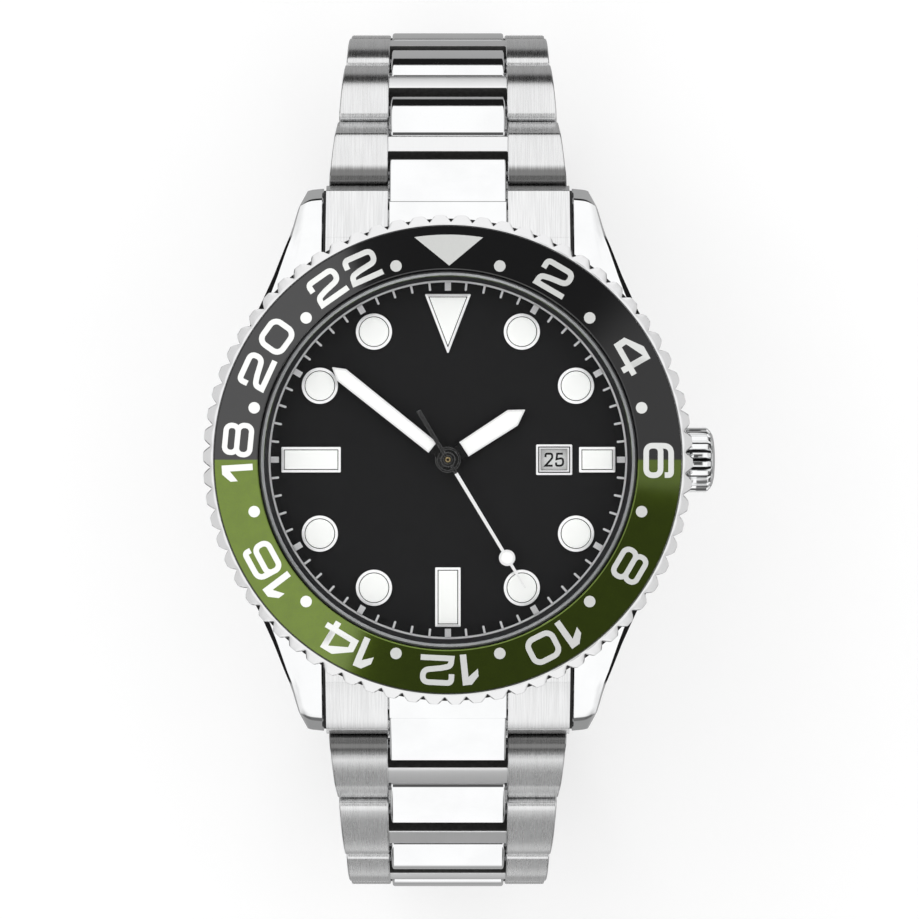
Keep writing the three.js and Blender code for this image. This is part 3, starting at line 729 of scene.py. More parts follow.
def outer_profile(first):
    def height(u):
        return 1.48 - (u - OUTER_PITCH / 2) ** 2 / (2 * 10.0)

    if not first:
        us = [-1.22 + (OUTER_PITCH + 2.44) * i / 22 for i in range(23)]
        top = [(u, height(u)) for u in us]
        edge = top[0][1]
        left = [(-1.42, edge - 0.13), (-1.54, edge - 0.32), (-1.58, edge - 0.6), (-1.58, -0.3),
                (-1.48, -0.75), (-1.2, -1.15), (-0.8, -1.38), (-0.4, -1.44)]
        return closed_profile(top, left, left, OUTER_PITCH)
    # nearest the case: rolls over about its pin, and ends in a flat facet
    roll = 1.57
    start = height(0.3) / roll
    left = [(-roll * math.sin(rad(a)),
             roll * math.cos(rad(a)) * (start + (1 - start) * min(1, a / 60)))
            for a in (3, 12, 21, 30, 39, 48, 57, 66, 75, 84)]
    left += [(-1.58, -0.1), (-1.55, -0.5), (-1.4, -0.9), (-1.12, -1.2), (-0.75, -1.38),
             (-0.4, -1.44)]
    top = [(u, height(u)) for u in (0.3, 0.8, 1.3, 1.8, 2.3, 2.8, 3.3, 3.7)]
    top += [(3.95, 1.375), (4.1, 1.335), (4.25, 1.275), (4.9, 0.99), (5.6, 0.685), (6.05, 0.49)]
    right = [(-1.2, 0.36), (-1.42, 0.22), (-1.54, 0.02), (-1.58, -0.22), (-1.56, -0.45),
             (-1.45, -0.8), (-1.2, -1.15), (-0.8, -1.38), (-0.4, -1.44)]
    return closed_profile(top, left, right, OUTER_PITCH)


def placer(pivot, slope, s):
    cos, sin = math.cos(rad(slope)), math.sin(rad(slope))
    return lambda u, n: (s * (pivot[0] + u * cos + n * sin), pivot[1] - u * sin + n * cos)


def centre_link(side, k, put):
    shape = prism(centre_profile(k == 1), -CENTRE_WIDTH / 2, CENTRE_WIDTH / 2,
                  lambda p, x: (x,) + put(*p))
    make(f"centre_{side}_{k}_steel", shape, M["polished"], f"centre_{side}_{k}",
         (f"centre_link_{side}_{k}",), "steel_polished", bevel=0.22, segs=4, angle=40)


def outer_link(side, k, put, slope, s):
    name, body = f"outer_{side}_{k}_steel", f"outer_{side}_{k}"
    profile = outer_profile(k == 1)
    n = len(profile)
    w0, w1 = WIDTHS[k - 1]

    def half_width(u):
        return (w0 + (w1 - w0) * ((u + 1.6) / (OUTER_PITCH + 3.2))) / 2

    verts, faces = [], []
    for t in (-1, 1):
        o = len(verts)
        verts += [(t * half_width(u),) + put(u, v) for u, v in profile]
        verts += [(t * SLOT,) + put(u, v) for u, v in profile]
        faces += [list(range(o, o + n)), list(range(o + n, o + 2 * n))[::-1]]
        for i in range(n):
            a, b = o + i, o + (i + 1) % n
            faces.append([a, b, n + b, n + a])
    rows = M["brushed_first" if k == 1 else "brushed"]
    ob = make(name, (verts, faces), [rows, M["polished"]], body, (f"outer_link_{side}_{k}",),
              "steel_satin", bevel=0.15, angle=40)
    second_material(ob, faces_sideways)
    # bar that joins the two rows; its wall toward the gap is near-black, painted shade in the gap
    bar = make(name + "_bar", prism(BAR_SECTION, -SLOT - 0.06, SLOT + 0.06,
                                    lambda p, x: (x,) + put(*p)),
               [M["bar"], M["painted_shade"]], body, (), "steel_polished", bevel=0.11, angle=40)
    back = Vector((0, -s * math.cos(rad(slope)), math.sin(rad(slope))))
    second_material(bar, lambda poly: poly.normal.dot(back) > 0.95)
    # the last link on the 12 side has no second pin
    ends = [0.0] if side == 12 and k == 7 else [0.0, OUTER_PITCH]
    for q, u in enumerate(ends):
        make(f"{name}_pin{q + 1}", rod(put(u, 0.0), PIN_R, -PIN_REACH, PIN_REACH, 20), M["pin"],
             body, (), "steel_plain", angle=40)


for side, s in SIDES:
    for i, slope in enumerate(SLOPES):
        put = placer(pivots[i], slope, s)
        if i % 2 == 0:
            centre_link(side, i // 2 + 1, put)
        else:
            outer_link(side, i // 2 + 1, put, slope, s)

# ---------------------------------------------------------------- end links
SPRING_BAR = (20.45, 3.0)                        # (y, z)
END_HALF = 10.85
# (y, z) outlines on the 12 side
END_ROWS = [(19.72, 1.6), (22.2, 1.52), (22.9, 1.55), (23.6, 1.8), (24.15, 2.2), (24.5, 2.7),
            (24.44, 3.0), (24.02, 3.86), (23.9, 4.0), (23.7, 4.12), (23.3, 4.36), (22.8, 4.62),
            (22.0, 5.05), (21.0, 5.6), (20.3, 6.0), (19.72, 6.35)]
END_CREST = [(19.72, 4.4), (22.0, 4.0), (23.0, 4.2), (23.02, 4.95), (22.92, 5.22), (22.6, 5.42),
             (22.0, 5.75), (21.4, 6.1), (20.6, 6.5), (19.72, 6.95)]
END_SHOULDER = [(17.4, 1.6), (19.9, 1.6), (19.9, 6.24), (17.4, 7.62)]
END_LINER = [(20.75, 1.7), (22.9, 1.7), (23.5, 1.95), (23.9, 2.4), (24.05, 2.8), (23.75, 3.5),
             (23.3, 3.92), (22.0, 4.6), (21.0, 5.15), (20.3, 5.55), (19.72, 5.9), (18.2, 6.7),
             (18.2, 1.7)]
# space for the first centre link, round about its pin
END_MOUTH = [(22.8, -1), (26, -1), (26, 7), (23.1, 7), (23.1, 4.6)]
END_MOUTH += [(FIRST_PIN[0] + 1.62 * math.cos(rad(a)), 3 + 1.62 * math.sin(rad(a)))
              for a in range(84, 271, 12)]


def end_link(side, s):
    mouth = prism(mirror(END_MOUTH, s), -SLOT, SLOT, putx)
    notch = box(-SLOT, SLOT, *span(s, 19.0, 26.0), 4.5, 8)
    # the shoulder is hollowed to the round of the case
    tool = raw("shoulder", prism(mirror(END_SHOULDER, s), -END_HALF, END_HALF, putx))
    boolean(tool, lathe([(0, -1), (20.66, -1), (20.66, 9.5), (0, 9.5)], 128), "DIFFERENCE")
    shoulder = ([tuple(c / MM for c in v.co) for v in tool.data.vertices],
                [list(q.vertices) for q in tool.data.polygons])
    bpy.data.objects.remove(tool)
    rows = prism(mirror(END_ROWS, s), -END_HALF, END_HALF, putx)
    solid_of(f"end_{side}_rows", [rows, shoulder], M["satin"], "case", (f"end_link_{side}",),
             "steel_satin", bevel=0.10, segs=2, angle=38,
             cuts=[mouth, rod(SPRING_BAR, 0.82, -12, 12, 24, s), notch])
    # near-black liners in the gaps between the lugs and the end link: painted shade
    for letter, t in (("a", 1), ("b", -1)):
        make(f"end_{side}_liner_{letter}",
             prism(mirror(END_LINER, s), *span(t, 10.75, 11.08), putx),
             M["seat"], "case", (), "steel_satin", angle=40)
    solid_of(f"end_{side}_crest", [prism(mirror(END_CREST, s), -5.2, 5.2, putx)], M["polished"],
             "case", (), "steel_polished", bevel=0.12, segs=2, angle=38, cuts=[mouth])
    make(f"end_{side}_pin", rod(FIRST_PIN, PIN_R, -PIN_REACH, PIN_REACH, 20, s), M["pin"],
         "case", (), "steel_plain", angle=40)


for side, s in SIDES:
    end_link(side, s)

# ---------------------------------------------------------------- case
LUG_INNER = 11.1                                 # x of the wall that faces the bracelet
LUG_START, LUG_END = 6.0, 24.2                   # y
LUG_STATIONS = [LUG_START, 9.0, 11.0, 12.5, 14.0, 15.5, 17.0, 18.5, 19.7, 20.8, 21.7, 22.3,
                22.9, 23.03, 23.10, 23.24, 23.34, 23.6, 23.9, 24.1, LUG_END]
# each table: (y, value)
LUG_TOP = [(6, 8.3), (12, 8.2), (14, 7.9), (15.5, 7.5), (17, 7.0), (18.5, 6.42), (19.7, 5.95),
           (20.8, 5.5), (21.7, 5.1), (22.3, 4.82), (22.9, 4.52), (23.03, 4.43), (23.10, 4.34),
           (23.24, 4.12), (23.34, 3.94), (23.6, 3.40), (23.9, 2.78), (24.1, 2.36), (24.2, 2.16)]
LUG_BOTTOM = [(6, 0.95), (20, 0.95), (22.5, 1.0), (23.4, 1.15), (24.0, 1.4), (24.2, 1.55)]
LUG_OUTER = [(6, 19.4), (9, 18.7), (12, 17.65), (14.3, 16.55), (17, 15.45), (19.7, 14.5),
             (20.9, 14.05), (22.2, 13.6), (23.0, 13.3), (23.8, 12.78), (24.2, 12.55)]
LUG_CHAMFER = [(6, 0.62), (13, 0.62), (15, 0.52), (17, 0.38), (19.5, 0.26), (22, 0.2),
               (22.8, 0.16), (24.2, 0.08)]


def lug(sx, sy):
    """a section across x at every station along y, lofted"""
    def look_up(table, y):
        ys, values = zip(*table)
        return float(np.interp(y, ys, values))

    xi = LUG_INNER
    loops = []
    for y in LUG_STATIONS:
        xo, zt, zb, w = (look_up(table, y)
                         for table in (LUG_OUTER, LUG_TOP, LUG_BOTTOM, LUG_CHAMFER))
        tall = zt - zb
        section = [(xi, zb + 0.1), (xi + 0.1, zb), (xo - 0.3, zb), (xo - 0.08, zb + 0.08),
                   (xo, zb + min(0.3, tall * 0.3)),
                   (xo, max(zt - w * 1.27, zb + tall * 0.45)), (xo - w, zt)]
        for k in range(1, 6):                    # slightly crowned top
            section.append((xo - w + (xi + 0.12 - xo + w) * k / 6,
                            zt + 0.025 * math.sin(math.pi * k / 6)))
        section += [(xi + 0.12, zt), (xi, zt - min(0.18, tall * 0.4))]
        loop = []
        t = (y - LUG_START) / (LUG_END - LUG_START)
        for x, z in section:
            d = x - xi                           # the tip falls away outward
            tip = 24.27 - 0.10 * d - 0.30 * max(0, d - 0.95) ** 2
            loop.append((sx * x, sy * (LUG_START + (max(tip, 23.0) - LUG_START) * t), z))
        loops.append(loop)
    return loft(loops)


CROWN_Z = 4.6
BARREL = [  # (radius, z)
    (17.4, 0.72), (18.5, 0.72), (18.9, 0.85), (19.9, 1.9), (20.3, 2.9), (20.5, 4.2), (20.55, 6.0),
    (20.5, 7.6), (20.35, 8.15), (20.1, 8.4), (17.62, 8.4), (17.62, 10.1), (17.5, 10.2),
    (16.76, 10.2), (16.76, 9.25), (16.62, 9.2), (16.62, 6.6), (15.5, 6.6), (15.5, 2.1),
    (16.7, 2.1), (16.7, 1.35), (17.1, 1.35), (17.1, 0.8)]
cuts = []
for _, s in SIDES:
    y0, y1 = span(s, 19.6, 26)
    cuts.append(prism([(-LUG_INNER, y0), (LUG_INNER, y0), (LUG_INNER, y1), (-LUG_INNER, y1)],
                      -1, 8.35, putz))
cuts.append(lathe([(0, 14), (1.74, 14), (1.74, 22), (0, 22)], 40, axis="x", at=(0, 0, CROWN_Z)))
solid_of("case_barrel", [lathe(BARREL, 160)], M["polished"], "case", ("case_middle",),
         "steel_polished", cuts=cuts)
for hour, sx, sy in ((1, 1, 1), (11, -1, 1), (5, 1, -1), (7, -1, -1)):
    hole = rod(SPRING_BAR, 0.5, *span(sx, 10.5, 12.3), 20, sy)
    core = lathe([(0, -1), (19.2, -1), (19.2, 9.5), (0, 9.5)], 96)
    solid_of(f"lug_{hour}_oclock", [lug(sx, sy)], M["polished"], "case", (), "steel_polished",
             angle=24, cuts=[core, hole])

# near-black rings under the bezel, over the roots of the lugs: painted shade, seen through the cuts
# of the bezel
SEAT = [(19.0, 8.2), (21.27, 8.2), (21.27, 8.58), (21.22, 8.62), (19.0, 8.62)]
for side, middle in ((12, 90), (6, 270)):
    make(f"bezel_seat_{side}", sweep(SEAT, middle - 50, middle + 50, 60), M["seat"], "case", (),
         "steel_polished")

# case back: turned disc with key notches and a raised ring inside the case
BACK = [(0, 0.0), (13.2, 0.0), (13.3, 0.04), (13.5, 0.04), (13.6, 0.0), (16.5, 0.0),
        (16.75, 0.1), (16.98, 0.36), (17.0, 0.55), (17.0, 1.2), (15.35, 1.2), (15.35, 2.3),
        (14.3, 2.3), (14.3, 1.2), (0, 1.2)]
KEY_NOTCH = round_poly([(15.5, -1.05), (17.6, -1.05), (17.6, 1.05), (15.5, 1.05)],
                       [0.35, 0, 0, 0.35], 4)
cuts = [prism(turned(KEY_NOTCH, rad(60 * i + 30)), -0.3, 0.55, putz) for i in range(6)]
solid_of("case_back_steel", [lathe(BACK, 160, closed=False)], M["turned"], "case",
         ("case_back",), "steel_satin", cuts=cuts)

# ---------------------------------------------------------------- bezel ring
SCALLOPS, SCALLOP_STEPS = 70, 20
BEZEL_PROFILE = [  # radius on the crest, in the valley, z on the crest, in the valley
    (20.57, 20.57, 10.12, 10.12), (20.57, 20.57, 10.82, 10.82), (20.60, 20.60, 10.87, 10.87),
    (20.66, 20.66, 10.89, 10.89), (20.76, 20.74, 10.87, 10.87), (20.86, 20.80, 10.83, 10.83),
    (21.06, 20.83, 10.76, 10.81), (21.30, 20.85, 10.66, 10.78), (21.46, 20.865, 10.59, 10.72),
    (21.5, 20.87, 10.56, 10.66), (21.5, 20.87, 9.6, 9.6), (21.47, 20.87, 9.3, 9.3),
    (21.3, 20.86, 9.05, 9.08), (21.05, 20.82, 8.88, 8.9), (20.75, 20.7, 8.72, 8.72),
    (20.6, 20.6, 8.67, 8.67), (20.2, 20.2, 8.67, 8.67), (20.2, 20.2, 8.92, 8.92),
    (17.9, 17.9, 8.92, 8.92), (17.75, 17.75, 9.0, 9.0), (17.75, 17.75, 10.12, 10.12)]


def scallop(t):
    """0 in the valley, 1 on the flat crest"""
    x = abs(2 * t - 1)
    return 1.0 if x < 0.34 else 1.0 - ((x - 0.34) / 0.66) ** 1.35


loops, shade_depths = [], []
count = SCALLOPS * SCALLOP_STEPS
for i, (crest_r, valley_r, crest_z, valley_z) in enumerate(BEZEL_PROFILE):
    loop = []
    for k in range(count):
        q = scallop((k % SCALLOP_STEPS) / SCALLOP_STEPS)
        r = valley_r + (crest_r - valley_r) * q
        a = rad(89.25) + 2 * math.pi * k / count
        loop.append((r * math.cos(a), r * math.sin(a), valley_z + (crest_z - valley_z) * q))
        # painted shade in the cuts of the rim, and on the hidden underside
        shade_depths.append(max(0.0, 1.0 - q * 2.2) if 8 <= i <= 12 else (0.6 if 16 <= i else 0.0))
    loops.append(loop)
shape = loft(loops, ring=True)
bezel = make("bezel_ring_steel", shape, M["bezel"], "bezel", ("bezel_ring",), "steel_polished",
             angle=27)
store_cavity(bezel, shape[0], shade_depths)


# ---------------------------------------------------------------- insert and its scale
def face_z(r):
    """the cone of the insert face"""
    return 10.84 + (20.5 - r) * (11.08 - 10.84) / (20.5 - 16.9)


INSERT = [(16.64, 10.3), (17.7, 10.3), (17.7, 10.14), (20.50, 10.14), (20.50, 10.74)]
INSERT += [(r, face_z(r)) for r in (20.46, 19.6, 18.7, 17.8, 16.78)]
INSERT += [(16.70, 11.055), (16.64, 10.98)]
for color, start in (("black", 0.0), ("green", 180.0)):
    make(f"insert_{color}_half", sweep(INSERT, start, start + 180.0, 180), M[color], "bezel",
         ("bezel_insert",), "insert", angle=7)

PRINT_LOW, PRINT_HIGH = -0.05, 0.03              # from the insert face
# Digits are drawn on a grid of 31 rows, y downward: name, width, [(outline, hole), ...].
# The parts of 6 and 8 share walls, so their unions hang on the last bit of these numbers.
DIGIT_STEP = 2.719298245614035 / 31              # digit height / rows
DIGIT_TOP_R = 19.842105263157894
DIGITS = {
    "0": (33.5, [stroke(round_rect(3.2, 3.2, 30.3, 27.8, 7.5), 5.6, True)]),
    "1": (17.4, [([(8.0, 0), (17.0, 0), (17.0, 31), (10.6, 31), (10.6, 8.0), (0.4, 15.3),
                   (0.4, 7.9)], None)]),
    "2": (35.3, [stroke(soft([(3.3, 12.2), (3.3, 3.2), (32.0, 3.2), (32.0, 15.4), (14.0, 17.9),
                              (4.6, 20.2), (4.0, 27.9), (35.0, 27.9)],
                             [0, 7.5, 7.5, 7.0, 0, 5.5, 0, 0]), 5.6)]),
    "4": (37.5, [([(17.5, 0), (31.2, 0), (31.2, 19.5), (37.4, 19.5), (37.4, 25.3), (31.2, 25.3),
                   (31.2, 30.8), (25.0, 30.8), (25.0, 25.3), (1.0, 25.3), (0.2, 12.6)],
                  [(24.9, 5.2), (24.9, 19.6), (7.4, 19.6), (7.0, 14.2)])]),
    "6": (36.0, [stroke(round_rect(3.1, 13.6, 32.6, 28.0, 6.0), 5.6, True),
                 stroke(soft([(32.4, 9.4), (32.4, 3.0), (3.1, 3.0), (3.1, 20.0)],
                             [0, 5.5, 8.0, 0]), 5.6)]),
    "8": (35.2, [stroke(round_rect(4.1, 2.7, 31.1, 14.8, 5.5), 5.3, True),
                 stroke(round_rect(3.0, 14.8, 32.2, 28.2, 6.0), 5.3, True)]),
}
# hour of the 24-hour scale: (digit, degrees clockwise from the hour)
BEZEL_HOURS = {
    2: [("2", 0.35)], 4: [("4", 0.25)], 6: [("6", 0.25)], 8: [("8", 0.3)],
    10: [("1", -5.4), ("0", 3.1)], 12: [("1", -5.9), ("2", 2.85)],
    14: [("1", -7.2), ("4", 1.2)], 16: [("1", -7.1), ("6", 1.5)],
    18: [("1", -3.6), ("8", 5.5)], 20: [("2", -5.3), ("0", 5.7)], 22: [("2", -5.1), ("2", 6.0)]}


def on_face(p, h):
    return (p[0], p[1], face_z(math.hypot(*p)) + h)


def digit(char, clockwise):
    width, parts = DIGITS[char]
    a = rad(90 - clockwise)

    def put(p, h):
        x = (p[0] - width / 2) * DIGIT_STEP
        r = DIGIT_TOP_R - p[1] * DIGIT_STEP
        return on_face((r * math.cos(a) + x * math.sin(a), r * math.sin(a) - x * math.cos(a)), h)

    # a second part lies a little lower, so that no faces coincide
    shapes = [prism_holes(outer, [hole] if hole else [], PRINT_LOW - 0.004 * q,
                          PRINT_HIGH - 0.003 * q, put) for q, (outer, hole) in enumerate(parts)]
    ob = raw("digit", shapes[0])
    for shape in shapes[1:]:
        boolean(ob, shape)
    return ob


numerals = [digit(char, hour * 15 + offset)
            for hour, digits in BEZEL_HOURS.items() for char, offset in digits]
merge(numerals, "bezel_numerals", M["insert_print"], "bezel", "insert")

dots = []
for hour in range(1, 24, 2):
    a = rad(90 - 15 * hour)
    ring = circle(17.58 * math.cos(a), 17.58 * math.sin(a), 0.505, 40)
    dots.append(raw("dot", prism(ring, PRINT_LOW, PRINT_HIGH, on_face)))
triangle = [(0.12, 17.02)]
triangle += [(19.74 * math.sin(rad(a)), 19.74 * math.cos(rad(a)))
             for a in np.linspace(9.0, -8.6, 15)]
dots.append(raw("triangle", prism(triangle, PRINT_LOW, PRINT_HIGH, on_face)))
merge(dots, "bezel_dots", M["insert_print"], "bezel", "insert")

# ---------------------------------------------------------------- crystal, gasket, flange
CRYSTAL = [(0, 9.4), (16.15, 9.4), (16.25, 9.5), (16.25, 10.4), (16.42, 10.5), (16.42, 11.11),
           (16.39, 11.15), (16.19, 11.275), (16.14, 11.285), (13, 11.35), (8, 11.385), (0, 11.4)]
GASKET = [(16.3, 9.32), (16.71, 9.32), (16.71, 10.26), (16.61, 10.28), (16.61, 10.55),
          (16.54, 10.6), (16.47, 10.55), (16.46, 10.42), (16.3, 10.35)]
FLANGE = [(15.98, 7.11), (16.54, 7.11), (16.54, 9.24), (15.86, 9.24), (15.8, 9.18), (15.8, 9.1),
          (15.98, 8.9)]
crystal = make("crystal_glass", lathe(CRYSTAL, 200, closed=False),
               [M["crystal"], M["crystal_edge"]], "case", ("crystal",), "crystal", angle=6)
second_material(crystal, lambda poly: math.hypot(poly.center.x, poly.center.y) > 0.01615
                and poly.center.z > 0.0111)
make("crystal_gasket_ring", lathe(GASKET, 160), M["gasket"], "case", ("crystal_gasket",),
     "gasket_white")
make("flange_ring", lathe(FLANGE, 200), M["rehaut"], "case", ("rehaut_ring",), "dial_surround")

# ---------------------------------------------------------------- dial
DATE_X = 9.4                                     # middle of the date window
plate = prism_holes(circle(0, 0, 16.5, 160),
                    [circle(0, 0, 1.0, 32), rect(DATE_X, 0, 2.3, 1.78)], 6.7, 7.1, putz)
make("dial_plate", plate, M["dial"], "case", ("dial",), "dial_black")

track = [raw("track", prism_holes(circle(0, 0, 15.88, 240), [circle(0, 0, 15.70, 240)],
                                  7.08, 7.125, putz))]
for minute in range(60):
    # width, inner radius, rounding of the inner end; wider at every fifth minute
    w, r0, rounding = (0.54, 14.96, 0.02) if minute % 5 == 0 else (0.2, 15.02, 0.09)
    r1 = 15.75
    tick = round_poly([(r0, -w / 2), (r1, -w / 2), (r1, w / 2), (r0, w / 2)],
                      [rounding, 0, 0, rounding], 4)
    track.append(raw("tick", prism(turned(tick, rad(90 - 6 * minute)), 7.08, 7.125, putz)))
merge(track, "minute_track", M["dial_print"], "case", "dial_black")

MARKER_Z, MARKER_TOP = 7.06, 7.56


def marker(poly, wall=0.22, rounding=0.08):
    """polished frame that slopes to its groove, and a pool of lume; poly is convex"""
    def loop(d, z):
        q = inset(poly, d)
        if rounding:
            q = round_poly(q, max(0.015, rounding - d * 0.25), 3)
        return at_height(q, z)

    z0, top = MARKER_Z, MARKER_TOP
    rim = raw("rim", loft([
        loop(0, z0), loop(0, top - 0.085), loop(0.012, top - 0.07), loop(wall - 0.02, top),
        loop(wall - 0.012, top - 0.004), loop(wall, top - 0.1), loop(wall + 0.005, z0)],
        ring=True))
    pool = raw("pool", loft([
        loop(wall + 0.075, z0), loop(wall + 0.08, top - 0.10), loop(wall + 0.11, top - 0.05),
        loop(wall + 0.17, top - 0.025), loop(wall + 0.32, top)]))
    return rim, pool


markers = []
for hour in (1, 2, 4, 5, 7, 8, 10, 11):
    a = rad(90 - 30 * hour)
    markers.append(marker(circle(13.08 * math.cos(a), 13.08 * math.sin(a), 1.60, 64),
                          wall=0.25, rounding=0))
for poly in (rect(0, -12.15, 2.25, 5.25), rect(-12.1, 0, 5.25, 2.25), rect(13.2, 0, 3.2, 2.25),
             [(0, 9.3), (2.05, 14.65), (-2.05, 14.65)]):
    markers.append(marker(poly))
rims, pools = zip(*markers)
merge(rims, "marker_frames", M["frame"], "case", "dial_black", 25)
merge(pools, "marker_lume", M["lume"], "case", "dial_black", 25)

# date frame, (inset, z): outer lip, groove, inner bevel down to the window
DATE_W, DATE_H = 3.2, 2.7
DATE_FRAME = [(0, 7.06), (0, 7.34), (0.012, 7.35), (0.175, 7.41), (0.18, 7.40), (0.19, 7.29),
              (0.27, 7.29), (0.275, 7.34), (0.31, 7.34), (0.42, 7.24), (0.44, 7.06)]
outline = rect(DATE_X, 0, DATE_W, DATE_H)
loops = [at_height(round_poly(inset(outline, d), max(0.02, 0.1 - d * 0.2), 3), z)
         for d, z in DATE_FRAME]
date_frame = make("date_frame", loft(loops, ring=True), [M["frame"], M["rehaut"]], "case", (),
                  "dial_black", angle=25)


def in_groove(poly):
    x, y, z = poly.center / MM
    depth = min(DATE_W / 2 - abs(x - DATE_X), DATE_H / 2 - abs(y))
    return 0.176 < depth < 0.274 and 7.28 < z < 7.38


# the groove takes the black of the rehaut: painted shade in the groove
second_material(date_frame, in_groove)

# ---------------------------------------------------------------- date disc
DAYS = 31
DAY_SHOWN = 25
teeth = []
for i in range(DAYS):
    for offset, r in ((-0.2, 7.9), (0.2, 7.6)):
        a = 2 * math.pi * (i + offset) / DAYS
        teeth.append((r * math.cos(a), r * math.sin(a)))
make("date_disc_plate", prism_holes(circle(0, 0, 11.0, 124), [teeth[::-1]], 6.2, 6.5, putz),
     M["date"], "date_disc", ("date_ring",), "date_ring")

# thin figures on a grid 8 steps wide and 12.6 high, y downward
DATE_STEP, DATE_PITCH, DATE_LINE = 0.0985, 9.6, 1.8


def loop_line(x0, y0, x1, y1, r):
    return stroke(round_rect(x0, y0, x1, y1, r, 6), DATE_LINE, True)


def open_line(path, radii=0):
    return stroke(soft(path, radii), DATE_LINE)


DATE_FIGURES = {
    "0": [loop_line(0.9, 0.9, 7.1, 11.7, 3.1)],
    "1": [open_line([(1.6, 3.4), (4.6, 1.0), (4.6, 12.6)])],
    "2": [open_line([(1.0, 4.0), (1.0, 0.9), (7.0, 0.9), (7.0, 4.8), (1.0, 11.7), (7.4, 11.7)],
                    [0, 2.9, 2.9, 2.6, 0, 0])],
    "3": [open_line([(1.0, 3.2), (1.0, 0.9), (6.8, 0.9), (6.8, 5.8), (3.0, 5.9), (7.1, 6.0),
                     (7.1, 11.7), (0.9, 11.7), (0.9, 9.2)],
                    [0, 2.5, 2.5, 2.2, 0, 2.2, 2.7, 2.7, 0])],
    "4": [open_line([(7.6, 9.0), (0.9, 9.0), (5.6, 0.6), (5.6, 12.6)])],
    "5": [open_line([(7.0, 0.9), (1.9, 0.9), (1.3, 5.9), (7.2, 4.6), (7.2, 11.7), (0.9, 11.7),
                     (0.9, 8.8)], [0, 0, 0, 3.2, 3.4, 2.9, 0])],
    "6": [open_line([(6.9, 3.0), (6.6, 0.9), (0.9, 0.9), (0.9, 11.7), (7.1, 11.7), (7.1, 5.2),
                     (1.0, 5.2), (1.0, 8.0)], [0, 2.0, 3.0, 3.0, 3.0, 3.0, 2.6, 0])],
    "7": [open_line([(0.8, 0.9), (7.2, 0.9), (3.2, 12.6)])],
    "8": [loop_line(1.2, 0.9, 6.8, 5.9, 2.4), loop_line(0.9, 6.1, 7.1, 11.7, 2.7)],
    "9": [open_line([(1.1, 9.6), (1.4, 11.7), (7.1, 11.7), (7.1, 0.9), (0.9, 0.9), (0.9, 7.4),
                     (7.0, 7.4), (7.0, 5.0)], [0, 2.0, 3.0, 3.0, 3.0, 3.0, 2.6, 0])],
}


def date_figure(outer, hole, start, angle):
    def put(p, z):
        x = 9.42 + (p[0] + start) * DATE_STEP
        y = (6.3 - p[1]) * DATE_STEP
        return putz(turned([(x, y)], angle)[0], z)

    return raw("ink", prism_holes(outer, [hole] if hole else [], 6.49, 6.512, put))


inks = []
for day in range(1, DAYS + 1):
    text = str(day)
    for q, char in enumerate(text):
        start = (q - len(text) / 2) * DATE_PITCH + 0.8
        inks += [date_figure(outer, hole, start, rad((DAY_SHOWN - day) * 360 / DAYS))
                 for outer, hole in DATE_FIGURES[char]]
merge(inks, "date_figures", M["ink"], "date_disc", "date_ring")


# ---------------------------------------------------------------- hands
def blade(body, clockwise, z0, z1, root, root_w, shoulder, shoulder_w, tip, hub_r, neck_w,
          bore_r):
    """white framed blade with lume, black neck and hub; root to tip are radii"""
    name = body + "_hand"
    turn = rad(-clockwise)
    outline = [(-root_w / 2, root), (root_w / 2, root), (shoulder_w / 2, shoulder), (0.0, tip),
               (-shoulder_w / 2, shoulder)]

    def loop(d, z):
        q = round_poly(inset(outline, d), [0.03, 0.03, 0.18, 0.05, 0.18], 3)
        return at_height(turned(q, turn), z)

    make(name + "_blade", loft([loop(0.0, z0), loop(0.0, z1 - 0.035), loop(0.035, z1),
                                loop(0.15, z1), loop(0.165, z1 - 0.02)]),
         M["hand"], body, (name,), "hand_white", angle=25)
    make(name + "_lume", loft([loop(0.168, z1 - 0.03), loop(0.172, z1 - 0.012),
                               loop(0.21, z1 + 0.004)]),
         M["lume"], body, (), "hand_white", angle=25)
    end_x, end_y = root_w / 2 * 0.94, root + 0.02
    neck = round_poly([(-neck_w / 2, 0.0), (neck_w / 2, 0.0), (end_x, end_y), (-end_x, end_y)],
                      0.03, 2)
    ob = raw(name + "_neck", prism(turned(neck, turn), z0 + 0.01, z1 - 0.01, putz))
    boolean(ob, lathe([(0, z0 + 0.012), (hub_r, z0 + 0.012), (hub_r, z1 - 0.02),
                       (hub_r - 0.07, z1 + 0.005), (hub_r - 0.30, z1 + 0.012),
                       (hub_r - 0.31, z1 + 0.05), (hub_r - 0.38, z1 + 0.075), (0, z1 + 0.08)],
                      56, closed=False))
    boolean(ob, prism(circle(0, 0, bore_r, 32), z0 - 1, z1 + 1, putz), "DIFFERENCE")
    merge([ob], name + "_hub", M["hub"], body, "hand_white", 9)


blade("hour", 57.1, z0=7.86, z1=8.10, root=1.67, root_w=1.52, shoulder=6.82, shoulder_w=1.64,
      tip=8.15, hub_r=1.14, neck_w=1.0, bore_r=0.80)
blade("minute", 308.6, z0=8.40, z1=8.62, root=1.70, root_w=1.18, shoulder=12.0, shoulder_w=1.30,
      tip=13.1, hub_r=0.98, neck_w=0.8, bore_r=0.50)

